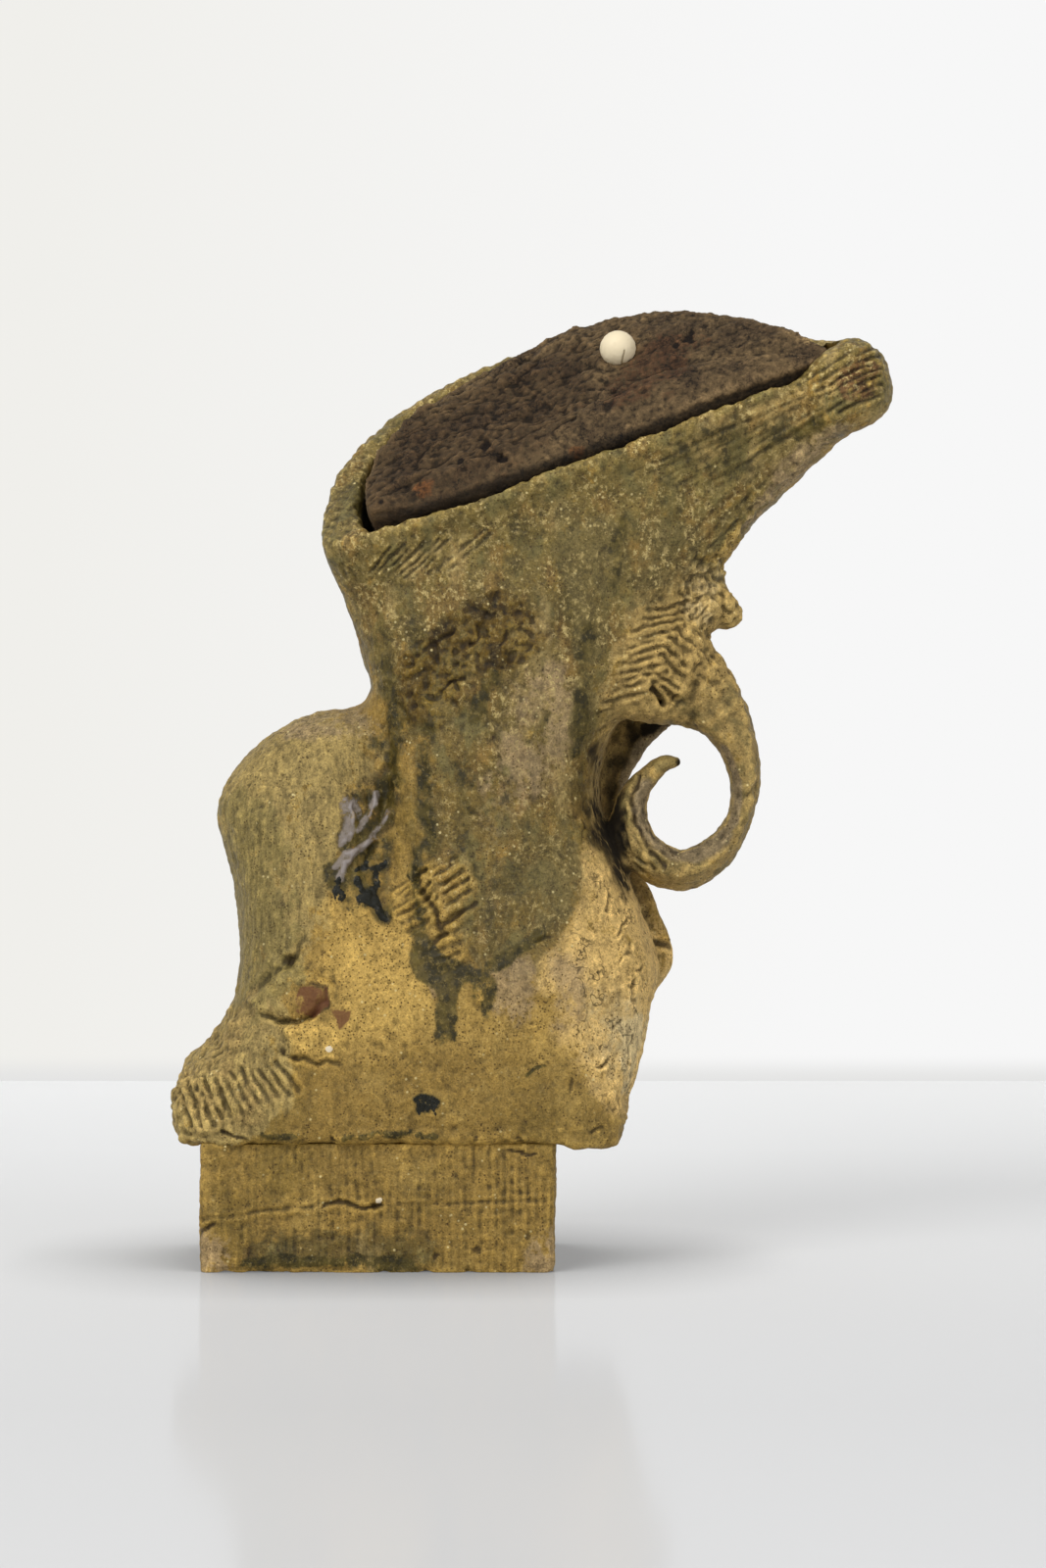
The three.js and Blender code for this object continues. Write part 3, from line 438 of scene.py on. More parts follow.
class Sheet:
    """A drawing sheet held up to one side of the clay: across and down are places on it, in steps."""

    def __init__(self, clay, side="front", behind=False):
        self.clay = clay
        normals = clay.normals()
        co = clay.co
        if side == "front":
            step = STEP * (co[:, 1] - EYE[1]) / SHEET_AWAY
            self.across = SHEET_MIDDLE[0] + (co[:, 0] - EYE[0]) / step
            self.down = SHEET_MIDDLE[1] - (co[:, 2] - EYE[2]) / step
            facing = -normals[:, 1]
            near = 1 - ease(4, 10, co[:, 1])
            if behind:
                near = 1 - near
        else:
            axis, sign = {"back": (1, 1), "left": (0, -1), "right": (0, 1)}[side]
            self.across = SHEET_MIDDLE[0] + co[:, 1 - axis] / STEP * (-sign if axis == 1 else sign)
            self.down = SHEET_MIDDLE[1] - (co[:, 2] - EYE[2]) / STEP
            facing = sign * normals[:, axis]
            near = 1.0
        self.facing = ease(0.08, 0.4, facing) * near

    def within(self, corners, pad, around=False):
        """Which points lie in the box round some places, and their places."""
        c = np.array(corners, float)
        low, high = c.min(0) - pad, c.max(0) + pad
        chosen = (self.across > low[0]) & (self.across < high[0])
        chosen &= (self.down > low[1]) & (self.down < high[1])
        if not around:
            chosen &= self.facing > 0
        chosen = np.nonzero(chosen)[0]
        return chosen, self.across[chosen], self.down[chosen]

    def area(self, corners, soft=24, ragged=7, size=9, around=False):
        """How far inside a closed outline each point is, from 0 to 1, with a soft and ragged edge.

        An area that goes around is on every side of the clay, not only on the sheet's own."""
        chosen, x, y = self.within(corners, soft + 2 * ragged, around)
        inside = np.zeros(len(chosen), bool)
        nearest = np.full(len(chosen), np.inf)
        for (x0, y0), (x1, y1) in zip(corners, corners[1:] + corners[:1]):
            nearest = np.minimum(nearest, distance_to(x, y, (x0, y0), (x1, y1))[0])
            crosses = ((y0 > y) != (y1 > y)) & (x < (x1 - x0) * (y - y0) / ((y1 - y0) or 1e-9) + x0)
            inside ^= crosses
        signed = np.where(inside, nearest, -nearest)
        signed = signed + ragged * uneven(self.clay.co[chosen], size, seed_of(corners), 2)
        weight = np.zeros(len(self.across))
        weight[chosen] = ease(-soft / 2, soft / 2, signed)
        if not around:
            weight[chosen] *= self.facing[chosen]
        return weight

    def paint(self, mark, corners, soft=24, strength=1.0, around=False):
        self.clay.paint(mark, strength * self.area(corners, soft, min(soft / 3, 10), around=around))

    def swell(self, corners, rise, soft=16):
        self.clay.height += rise * self.area(corners, soft, 3)

    def line(self, places, width, depth, lips=0.0, mark=None, taper=True, ragged=1.5, strength=1.0):
        """A groove, or a raised bead where the depth is below 0, along a line of places."""
        chosen, x, y = self.within(places, 4 * width + 3)
        if not len(chosen):
            return
        seed = seed_of(places)
        co = self.clay.co[chosen]
        x = x + ragged * uneven(co, 6.0, 41 + seed, 2)
        y = y + ragged * uneven(co, 6.0, 83 + seed, 2)
        total = sum(math.dist(a, b) for a, b in zip(places, places[1:]))
        nearest = np.full(len(chosen), np.inf)
        share = np.zeros(len(chosen))
        passed = 0.0
        for a, b in zip(places, places[1:]):
            d, t = distance_to(x, y, a, b)
            closer = d < nearest
            share = np.where(closer, (passed + t * math.dist(a, b)) / total, share)
            nearest = np.minimum(nearest, d)
            passed += math.dist(a, b)
        depth = depth * (1 + 0.45 * uneven(co, 3.5, 61 + seed))
        if taper:
            depth = depth * (0.35 + 0.65 * np.sin(np.pi * np.clip(share * 0.86 + 0.07, 0, 1)) ** 0.6)
        groove = np.exp(-((nearest / width) ** 2))
        facing = self.facing[chosen]
        self.clay.height[chosen] -= depth * groove * facing
        if lips:
            lip = np.exp(-(((nearest - 1.7 * width) / width) ** 2))
            self.clay.height[chosen] += depth * lips * lip * facing
        if mark:
            weight = np.zeros(len(self.across))
            weight[chosen] = groove * facing * strength
            self.clay.paint(mark, weight)

    def strokes(self, first, last, count, width, depth, lips=0.45, jitter=0.25):
        """Comb strokes, drawn one after another from the first to the last."""
        rng = np.random.default_rng(seed_of(first + last))
        first, last = np.array(first, float), np.array(last, float)
        for i in range(count):
            t = i / max(count - 1, 1)
            places = first * (1 - t) + last * t
            direction = places[-1] - places[0]
            side = np.array([-direction[1], direction[0]]) / np.linalg.norm(direction)
            places = places + side * rng.uniform(-4, 4, (len(places), 1)) * jitter
            places[0] -= direction * rng.uniform(-0.12, 0.1)
            places[-1] += direction * rng.uniform(-0.12, 0.1)
            wide, deep = width * rng.uniform(0.75, 1.25), depth * rng.uniform(0.6, 1.25)
            self.line([tuple(place) for place in places], wide, deep, lips)

    def spot(self, place, radius, depth=0.0, mark=None, ragged=0.35):
        """A pit, or a lump where the depth is below 0."""
        chosen, x, y = self.within([place], 2.5 * radius)
        if not len(chosen):
            return
        d = np.hypot(x - place[0], y - place[1]) / radius
        d = d + ragged * uneven(self.clay.co[chosen], max(radius * STEP, 2), seed_of([place]), 2)
        fall = 1 - ease(0.35, 1.35, d)
        self.clay.height[chosen] -= depth * fall * self.facing[chosen]
        if mark:
            weight = np.zeros(len(self.across))
            weight[chosen] = fall * self.facing[chosen]
            self.clay.paint(mark, weight)


# The jar's body

BODY_NODES = [
    "floor_slab", "skirt_left_lip", "skirt_right_slab", "skirt_front_slab", "skirt_back_slab",
    "body_front_sheet", "body_back_sheet", "shoulder_front_pouch", "shoulder_back_pouch",
    "neck_front_sheet", "neck_back_sheet", "mouth_front_wall", "mouth_back_wall", "beak_tip",
    "handle_root", "handle_curl", "lug_pad", "lug_horn", "seam_fin_upper", "seam_fin_lower",
]


def belly_hollow(outside):
    """The hollow below the waist: the outside, made a little thinner, less the jar's own walls."""
    thin = Clay(outside.co - SHELL * outside.normals(), outside.quads)
    walls = skinned(luted("walls", BODY_NODES), ROUGH_GRID)
    inner, hollow = cut(shown(thin.mesh("hollow")), shown(walls.mesh("walls")))
    bpy.data.objects.remove(inner)
    mesh = hollow.data
    bm = bmesh.new()
    bm.from_mesh(mesh)
    # Its top is drawn up through the plug, which opens the waist again
    for vert in bm.verts:
        if vert.co.z > (PLUG_LOW + 2) * MM:
            vert.co.z += (PLUG_HIGH - PLUG_LOW) * MM
    bm.to_mesh(mesh)
    bm.free()
    mesh.attributes.remove(mesh.attributes["skin"])
    return hollow


def nearby(x, z, at_x, at_z, reach):
    """1 at a place on the front, and less away from it."""
    return np.exp(-((x - at_x) ** 2 + (z - at_z) ** 2) / reach**2)


def form_body():
    """The big forms: slabs luted together, and wiped into each other where the maker's hands went."""
    cheek = lump([
        ((205, -35, 386.5), 17.5),
        ((187, -18, 378), 15),
        ((175.5, -10, 354), 12.5),
        ((158, -6, 336.5), 12.5),
    ])
    arch = lump([
        ((110, -22, 250), 8),
        ((114, -14, 247.5), 8),
        ((128, -10, 246.5), 7),
        ((143, -8, 246), 6.5),
        ((150, -8, 243), 6),
        ((128, -14, 262), 10),
    ])
    outside = skinned(luted("jar", BODY_NODES, LUTE, [cheek, arch, waist_plug()]), ROUGH_GRID)
    hollow = belly_hollow(outside)
    x, y, z = outside.drawn.T
    along, out = (outside.drawn - MOUTH) @ ALONG, (outside.drawn - MOUTH) @ OUT
    curl = ease(116, 124, x) * ease(150, 158, z) * (1 - ease(258, 268, z))
    lug = ease(128, 134, x) * ease(274, 280, z) * (1 - ease(312, 320, z)) * 0.85
    rim = ease(-16, -6, out) * 0.9 * (1 - 0.85 * ease(192, 208, along))
    fins = ease(8, 11, y) * ease(100, 106, x) * (1 - ease(256, 262, z)) * 0.8
    foot_edge = (1 - ease(66, 74, z)) * 0.92
    keep = np.max([curl, lug, rim, fins, foot_edge], axis=0)
    outside.wipe(46, keep)
    outside.wipe(10, 0.2 + 0.5 * np.max([curl, lug], axis=0), 0.5, 0.52)
    outside.height += 0.5 * (1 - keep)
    # Where the clay was pressed in behind the lip and at the neck's crease
    outside.height -= 4.0 * nearby(x, z, -77, 104, 9)
    outside.height -= 3.0 * nearby(x, z, -9, 256, 8)
    outside.settle()
    # The floor's right end sags and bulges under the leaning side, less towards the back
    outside.co[:, 2] -= 2.2 * ease(80, 88, x) * (1 - ease(66, 76, z))
    heights, bulges = [56, 63, 71, 80, 90, 104], [2.6, 4.0, -3.2, -1.8, -1.4, 0]
    wander = 5 * ease(-46, -30, y) * uneven(outside.co, 34, 81, 2)
    right_side = ease(92, 110, x) * (1 - 0.6 * ease(-40, 10, y))
    outside.co[:, 0] += right_side * np.interp(z + wander, heights, bulges)
    return skinned(outside.mesh("jar"), CLAY_GRID), hollow


def work_body(clay):
    """Hand pressure, torn edges and streaks, all over the jar."""
    clay.wipe(4, 0.0, 0.5, 0.515)
    x, y, z = clay.drawn.T
    out = (clay.drawn - MOUTH) @ OUT
    handle = ease(112, 122, x) * ease(150, 158, z) * (1 - ease(300, 312, z))
    # Hand pressure: slow swells, finger-wide dents, cobbles and a grain
    clay.height += 0.9 * uneven(clay.co, 34, 1, 2) * (1 - 0.7 * handle)
    clay.height += 0.45 * uneven(clay.co, 9, 2, 2)
    clay.height += 0.3 * uneven(clay.co, 3.4, 3, 2) * (0.75 + 0.6 * uneven(clay.co, 24, 12))
    clay.height += 0.3 * (1 - ease(0.1, 0.75, pitted(clay.co, 3.8, 4)))
    knobbly = ease(106, 122, x) * ease(150, 158, z) * (1 - ease(304, 312, z))
    knobbly *= 0.15 + 0.85 * ease(225, 245, z)
    clay.height += knobbly * (0.8 * uneven(clay.co, 7.5, 14, 2) + 0.4 * uneven(clay.co, 3.6, 15, 2))
    # Streaks of ash that ran down the pouch
    pouch = 1 - ease(-24, -2, x)
    clay.height += pouch * 0.2 * uneven(clay.co, [2.4, 2.4, 16], 16, 2)
    # Torn and pressed edges of the left lip, the lower edge and the rim
    lip = (1 - ease(-64, -52, x)) * (1 - ease(104, 122, z))
    seen = 1 - 0.5 * ease(-30, -10, y)
    clay.height += lip * (1.7 * uneven(clay.co, 10, 5, 2) + 1.0 * seen * uneven(clay.co, 4.5, 6, 2))
    lower = 1 - ease(60, 68, z)
    clay.height += lower * 0.6 * uneven(clay.co, [12, 12, 5], 8, 2)
    rim = ease(-8, -1, out)
    clay.height += rim * (0.6 * uneven(clay.co, 7, 9, 2) + 0.35 * uneven(clay.co, 2.6, 10))
    clay.settle()
    report("hand pressure")


def broad_zones(clay):
    """Where the fire and the ash coloured the jar, all round it."""
    sheet = Sheet(clay)
    flare = [
        (318, 560), (360, 640), (378, 700), (420, 745), (600, 770), (640, 640), (740, 570),
        (870, 430), (930, 400), (900, 335), (700, 300), (560, 320), (400, 380), (320, 480),
    ]
    neck = [
        (385, 640), (480, 600), (600, 560), (628, 620), (606, 760), (590, 860), (594, 900),
        (565, 965), (520, 1000), (478, 960), (448, 900), (428, 820), (420, 740), (396, 690),
    ]
    shoulder = [
        (200, 850), (210, 760), (290, 715), (370, 740), (392, 800), (350, 870), (330, 960),
        (290, 1000), (200, 1000),
    ]
    mossy_flank = [
        (220, 830), (262, 800), (300, 860), (296, 940), (310, 1000), (262, 1040), (230, 1010),
    ]
    torn_lip = [
        (160, 1175), (165, 1090), (205, 1030), (262, 1005), (300, 1035), (300, 1130), (240, 1175),
    ]
    lip_top = [
        (320, 500), (340, 450), (400, 395), (520, 340), (560, 335), (520, 374), (420, 425),
        (372, 500), (376, 566), (420, 600), (360, 640), (322, 560),
    ]
    handle = [
        (640, 600), (700, 570), (790, 640), (800, 910), (640, 925), (600, 900), (600, 770),
        (612, 690), (630, 640),
    ]
    bare_side = [
        (600, 870), (645, 890), (710, 980), (700, 1140), (630, 1134), (606, 1092), (572, 1052),
        (556, 990), (580, 955),
    ]
    chalky_edge = [(632, 1044), (668, 1034), (670, 1110), (656, 1124), (636, 1112)]
    sheet.paint("olive", flare, 46, around=True)
    sheet.paint("frost", flare, 60, around=True)
    sheet.paint("deep", neck, 60, around=True)
    sheet.paint("frost", neck, 60, 0.7, around=True)
    sheet.paint("pale", shoulder, 50, around=True)
    sheet.paint("moss", mossy_flank, 50, around=True)
    sheet.paint("pale", torn_lip, 40, around=True)
    sheet.paint("pale", lip_top, 26)
    sheet.paint("tan", handle, 34, 0.8, around=True)
    sheet.paint("tan", torn_lip, 40, 0.4, around=True)
    sheet.paint("bare", bare_side, 56, around=True)
    sheet.paint("chalk", chalky_edge, 26)
    right = Sheet(clay, "right")
    ashy_flank = [
        (395, 980), (470, 1010), (560, 960), (650, 1020), (660, 1120), (560, 1165), (470, 1140),
        (400, 1080),
    ]
    right.paint("chalk", ashy_flank, 90, 0.4)


def mark_mouth(front):
    """Comb strokes and tears along the near rim and the beak."""
    fan_left = [(372, 588), (398, 560)]
    fan_right = [(450, 586), (504, 542)]
    corner_first = [(346, 566), (358, 592)]
    corner_last = [(376, 600), (396, 628)]
    front.strokes(fan_left, fan_right, 10, 2.2, 0.85, 0.6, 0.25)
    front.strokes(corner_first, corner_last, 4, 2.4, 0.35, 0.5, 0.4)
    beak_inner = [[(824, 386), (872, 358)], [(850, 424), (900, 402)]]
    beak_outer = [[(866, 366), (896, 354)], [(866, 410), (896, 400)]]
    front.strokes(*beak_inner, 7, 2.2, 1.0)
    front.strokes(*beak_outer, 7, 2.0, 1.3)
    spout_upper = [[(640, 486), (740, 440), (850, 392)], [(700, 520), (770, 470), (850, 420)]]
    spout_lower = [[(690, 560), (735, 515), (780, 480)], [(725, 575), (775, 524), (820, 476)]]
    front.strokes(*spout_upper, 8, 2.4, 0.4, 0.6, 0.8)
    front.strokes(*spout_lower, 4, 3.0, 0.35, 0.6, 0.8)
    scorched_grooves = [(846, 385), (880, 362), (900, 368), (902, 396), (880, 414), (862, 404)]
    dark_streaks = [(806, 438), (845, 420), (852, 430), (815, 448)]
    ochre_edge = [(722, 572), (742, 538), (760, 528), (744, 574)]
    mossy_veil = [(700, 440), (790, 412), (806, 450), (750, 500), (700, 508), (680, 470)]
    slate_veil = [(628, 556), (690, 520), (716, 540), (700, 596), (640, 625)]
    crusty_edge = [(745, 540), (800, 470), (850, 428), (866, 434), (806, 500), (762, 548)]
    tan_rim = [(690, 455), (800, 392), (870, 372), (872, 396), (790, 436), (700, 480)]
    pale_nose = [(880, 350), (905, 352), (910, 400), (896, 428), (870, 436), (890, 400), (896, 370)]
    front.paint("scorch", scorched_grooves, 16)
    front.paint("green", dark_streaks, 12, 0.7)
    front.paint("green", mossy_veil, 40, 0.32)
    front.paint("slate", slate_veil, 36, 0.7)
    front.paint("pink", crusty_edge, 18, 0.9)
    front.paint("tan", tan_rim, 34)
    spout_face = [(640, 500), (700, 450), (790, 420), (800, 450), (740, 520), (690, 560), (650, 560)]
    front.paint("moss", spout_face, 40, 0.6)
    crusty_lumps = [
        (848, 430), (832, 448), (814, 468), (797, 488), (780, 506), (764, 526), (750, 546), (738, 562),
    ]
    for place in crusty_lumps:
        front.spot(place, 7, -1.1, ragged=0.8)
    front.paint("yellow", ochre_edge, 14, 0.8)
    front.paint("pale", pale_nose, 14)
    # Painted shade, near black, on the inside of the mouth, which lies in the dark below its rim
    clay = front.clay
    middle = MOUTH + 100 * ALONG + 45 * ACROSS - DRAWN
    inward = middle - clay.co
    inward -= np.outer(inward @ OUT, OUT) + np.outer(inward @ ALONG * 0.7, ALONG)
    inward /= np.maximum(np.linalg.norm(inward, axis=1), 1e-6)[:, None]
    above = (clay.drawn - MOUTH) @ OUT
    inside = ease(0.1, 0.5, (inward * clay.normals()).sum(1)) * (1 - ease(-9, -4, above))
    clay.paint("painted_shade", inside * ease(-40, -28, above))


def mark_root(front):
    """Comb strokes and chevrons on the fanned root of the handle."""
    fan = [[(656, 624), (678, 620), (704, 614)], [(618, 716), (642, 708), (668, 702)]]
    fan_low = [[(606, 730), (626, 722)], [(616, 764), (638, 744)]]
    chevrons = [[(684, 636), (708, 656)], [(666, 694), (692, 716)]]
    ridge = [(686, 626), (679, 660), (668, 690), (654, 708)]
    deep_cut = [(664, 700), (670, 708), (676, 718)]
    cross_down = [(684, 707), (692, 720)]
    cross_up = [(693, 706), (682, 719)]
    front.strokes(*fan, 11, 2.6, 0.85, 0.8, 0.35)
    front.strokes(*fan_low, 3, 2.4, 0.5)
    front.strokes(*chevrons, 6, 2.9, 0.9, 0.7, 0.6)
    front.line(ridge, 5, -0.9)
    front.line(deep_cut, 3.2, 2.6, 0.3, "groove")
    front.line(cross_down, 2, 1.2, 0.3)
    front.line(cross_up, 2, 1.2, 0.3)


def mark_lug(front):
    """The ring and scratches of the pinched lug, its horn, and the craggy clay under it."""
    ring_middle = (712, 599)
    across, down = ring_middle
    turns = np.linspace(0, 5.6, 14)
    ring = [(across + 12 * math.cos(turn), down + 12 * math.sin(turn)) for turn in turns]
    lug_scratches = [[(702, 622), (716, 608)], [(720, 642), (734, 620)]]
    horn_fold = [(734, 616), (744, 624), (750, 634)]
    notch = [(730, 588), (740, 592)]
    front.line(ring, 1.9, 0.55, 0.6, taper=False)
    front.spot(ring_middle, 5, -0.5)
    front.strokes(*lug_scratches, 5, 1.9, 0.8)
    front.line(horn_fold, 3, 0.8, 0.4)
    front.line(notch, 3, 1.4, 0.3)
    horn_flats = [(756, 606), (763, 624), (756, 646)]
    for place in horn_flats:
        front.spot(place, 7, 1.6, ragged=0.2)
    crags = [
        (704, 580), (722, 578), (733, 600), (728, 622), (706, 640), (718, 652), (708, 668),
        (724, 684), (742, 614),
    ]
    for place in crags:
        front.spot(place, 8, -1.3, ragged=0.6)
    craggy_zone = [(694, 560), (730, 560), (775, 590), (775, 660), (745, 680), (700, 700), (690, 620)]
    craggy = front.area(craggy_zone, 12)
    inside = craggy > 0
    co = front.clay.co[inside]
    crumbs = 1.5 * np.abs(uneven(co, 6.5, 71, 2)) + 0.6 * uneven(co, 3, 72, 2) - 0.4
    front.clay.height[inside] += craggy[inside] * crumbs
    horn = [(738, 606), (758, 608), (762, 640), (738, 644), (730, 628)]
    lug = [(690, 575), (735, 566), (742, 600), (730, 640), (700, 640), (688, 610)]
    front.paint("moss", horn, 12)
    front.paint("pale", lug, 20)
    front.paint("chalk", lug, 24, 0.4)


def mark_curl(front):
    """The creases of the strap, and its inner face, which is grey with painted shade along it."""
    curl_groove = [(652, 790), (644, 812), (648, 840), (660, 862), (678, 884)]
    front.line(curl_groove, 3, 1.3, 0.6, "groove", ragged=3)
    left_creases = [
        [(640, 822), (634, 845), (642, 868), (666, 886)],
        [(650, 822), (646, 845), (656, 864), (678, 880)],
        [(660, 846), (662, 860), (676, 872)],
        [(630, 850), (640, 875), (660, 890)],
    ]
    for places in left_creases:
        front.line(places, 2.2, 0.9, 0.6, taper=True, ragged=2.5)
    outer_edge = [(745, 690), (760, 730), (766, 780), (764, 820), (752, 860), (725, 885), (690, 893)]
    kink = [(775, 800), (766, 810), (756, 812)]
    hollow_top = [(722, 690), (735, 700), (742, 718)]
    front.line(outer_edge, 4, -0.7, 0.3, ragged=3)
    front.line(kink, 4, 1.2, 0.4)
    front.line(hollow_top, 6, 0.9, 0.2, ragged=3)
    # Painted shade along the strap's inner face, in a grey and dark band
    inner_shade_low = [
        (659, 806), (655, 825), (661, 843), (674, 858), (690, 868), (706, 870), (722, 865),
        (737, 853),
    ]
    inner_shade_right = [(737, 853), (748, 838), (753, 818), (751, 798), (745, 780), (737, 764)]
    front.line(inner_shade_low, 10, 1.2, 0, "inner", ragged=1)
    front.line(inner_shade_right, 5, 0.8, 0, "inner", ragged=1)
    # Painted shade where the curl turns inward
    tip = (696, 781)
    front.spot(tip, 8, 0, "painted_shade")
    loop_top = [(690, 722), (730, 735), (748, 770), (738, 776), (715, 748), (690, 742)]
    curl_zone = [(640, 770), (690, 700), (790, 690), (800, 910), (640, 900)]
    curl_tip = [(664, 778), (682, 768), (700, 772), (702, 784), (682, 784), (668, 790)]
    curl_left = [
        (632, 790), (652, 770), (664, 800), (660, 840), (676, 862), (668, 882), (640, 862),
        (630, 830),
    ]
    front.paint("tan", loop_top, 16)
    front.paint("slate", curl_zone, 30, 0.42, around=True)
    front.paint("slate", curl_tip, 8)
    front.paint("deep", curl_left, 18, 0.9)


def mark_loop(front, behind):
    """Painted shade by the curl and on the back sheet behind it, but for that sheet's edge in the loop.
    """
    recess = [
        (614, 758), (648, 744), (668, 748), (650, 772), (640, 790), (634, 830), (638, 880),
        (652, 908), (640, 915), (624, 886), (604, 850), (598, 800), (602, 770),
    ]
    sheet_behind = [
        (640, 735), (692, 735), (676, 770), (650, 800), (640, 840), (655, 885), (636, 900),
        (618, 860), (616, 780),
    ]
    lit_strip = [
        (690, 736), (664, 742), (648, 760), (634, 785), (630, 815), (640, 830), (665, 800),
        (690, 760),
    ]
    low_fin = [(640, 900), (690, 905), (700, 1020), (650, 1010)]
    loop_hollow = [(650, 738), (664, 734), (678, 738), (668, 750), (654, 752)]
    # Painted shade in the recess by the curl, on the back sheet behind it and in the loop
    front.paint("painted_shade", recess, 26)
    behind.paint("painted_shade", sheet_behind, 34, 0.9)
    behind.clay.marks["painted_shade"] *= 1 - 0.9 * behind.area(lit_strip, 8)
    behind.paint("inner", lit_strip, 8)
    behind.paint("chalk", lit_strip, 8, 0.7)
    behind.paint("painted_shade", loop_hollow, 8)
    behind.paint("painted_shade", low_fin, 24, 0.32)
    step_in_fin = [(664, 960), (674, 964), (684, 966)]
    behind.line(step_in_fin, 4, 1.4, 0.4, "groove")


def mark_rust(front):
    """The rusty, lumpy patch under the mouth's near corner."""
    clay = front.clay
    rusty_patch = [
        (412, 662), (402, 700), (412, 740), (448, 742), (474, 708), (508, 690), (548, 674),
        (556, 628), (512, 602), (464, 630),
    ]
    rust = front.area(rusty_patch, 34, 9, 7)
    inside = rust > 0
    co = clay.co[inside]
    lumps = 1.2 * uneven(co, 12, 22) + 1.2 * uneven(co, 5, 23, 2) + 0.8 * uneven(co, 2.4, 26)
    hollows = ease(0.1, 0.6, uneven(co, 4.2, 27, 2))
    clay.height[inside] += 0.8 * rust[inside] * (lumps - 1.1 * hollows)
    clay.paint("rust", rust)
    dark = np.zeros(len(rust))
    dark[inside] = 0.7 * hollows * rust[inside]
    clay.paint("groove", dark)
    rust_cuts = [
        [(452, 703), (462, 696), (474, 694)],
        [(480, 660), (487, 648), (484, 640)],
        [(500, 668), (512, 655), (516, 642)],
        [(425, 668), (444, 655), (462, 640)],
    ]
    for places in rust_cuts:
        front.line(places, 2.2, 1.4, 0.3, "groove", ragged=3)


def mark_comb(front):
    """The comb patch: a tan swelling with strokes in several turned groups."""
    comb_swelling = [(440, 885), (475, 872), (488, 900), (480, 975), (446, 984), (400, 950), (400, 915)]
    top_strokes = [[(446, 893), (466, 878)], [(458, 922), (480, 907)]]
    left_strokes = [[(400, 928), (424, 914)], [(418, 952), (438, 938)]]
    low_strokes = [[(438, 948), (466, 934)], [(447, 982), (469, 974)]]
    upper_strokes = [[(402, 908), (418, 898)], [(408, 920), (424, 908)]]
    dark_cuts = [[(422, 897), (434, 886)], [(434, 930), (447, 915)]]
    long_scratch = [(424, 888), (434, 912), (446, 934), (452, 950), (440, 968)]
    top_scratch = [(434, 888), (452, 881), (466, 874)]
    side_scratch = [(448, 948), (466, 936), (486, 921)]
    comb_tan = [(396, 890), (440, 874), (488, 884), (482, 930), (470, 980), (444, 984), (398, 955)]
    front.swell(comb_swelling, 0.9, 14)
    front.strokes(*top_strokes, 4, 3.2, 1.3, 0.7, 0.2)
    front.strokes(*left_strokes, 4, 3.0, 1.0, 0.6, 0.4)
    front.strokes(*low_strokes, 4, 3.4, 1.1, 0.6, 0.4)
    front.strokes(*upper_strokes, 3, 2.6, 0.8, 0.6, 0.4)
    front.strokes(*dark_cuts, 5, 2.4, 1.8, 0.3, 0.2)
    front.line(long_scratch, 3.4, 1.8, 0.3, "groove", ragged=2.5)
    front.line(top_scratch, 2.2, 1.0, 0.3)
    front.line(side_scratch, 3.0, 1.4, 0.3, "groove")
    front.paint("yellow", comb_tan, 22, 0.45)


def mark_ash(front):
    """Pinkish grey where the ash lies thin on the column, and olive runs beside it."""
    pink_patch = [(520, 690), (560, 664), (590, 680), (594, 750), (562, 805), (505, 860), (488, 800)]
    pink_high = [(500, 640), (540, 625), (562, 650), (530, 676)]
    pink_low = [(500, 982), (536, 982), (542, 1036), (520, 1052), (498, 1030)]
    pink_right = [(560, 972), (600, 982), (598, 1032), (570, 1048)]
    pink_bright = [(556, 672), (582, 676), (592, 712), (588, 760), (560, 770), (545, 740), (548, 700)]
    pinks = [(pink_patch, 0.55), (pink_bright, 0.7), (pink_high, 0.5), (pink_low, 1), (pink_right, 0.7)]
    for outline, strength in pinks:
        front.paint("pink", outline, 34, strength)
    olive_run = [
        (570, 500), (640, 540), (622, 620), (612, 690), (606, 745), (594, 770), (584, 745),
        (590, 680), (584, 620), (560, 560),
    ]
    lower_run = [
        (500, 820), (592, 820), (590, 918), (570, 936), (548, 956), (520, 978), (496, 984),
        (478, 972), (474, 935), (480, 880),
    ]
    slate_edge = [
        (564, 830), (594, 840), (592, 918), (572, 936), (548, 956), (540, 940), (552, 900),
        (560, 870),
    ]
    front.paint("slate", olive_run, 18)
    front.paint("deep", lower_run, 30)
    front.paint("slate", lower_run, 30, 0.3)
    front.paint("slate", slate_edge, 20, 0.8)
    run_bead = [(600, 620), (600, 700), (594, 745), (588, 768)]
    front.line(run_bead, 5, -0.5)


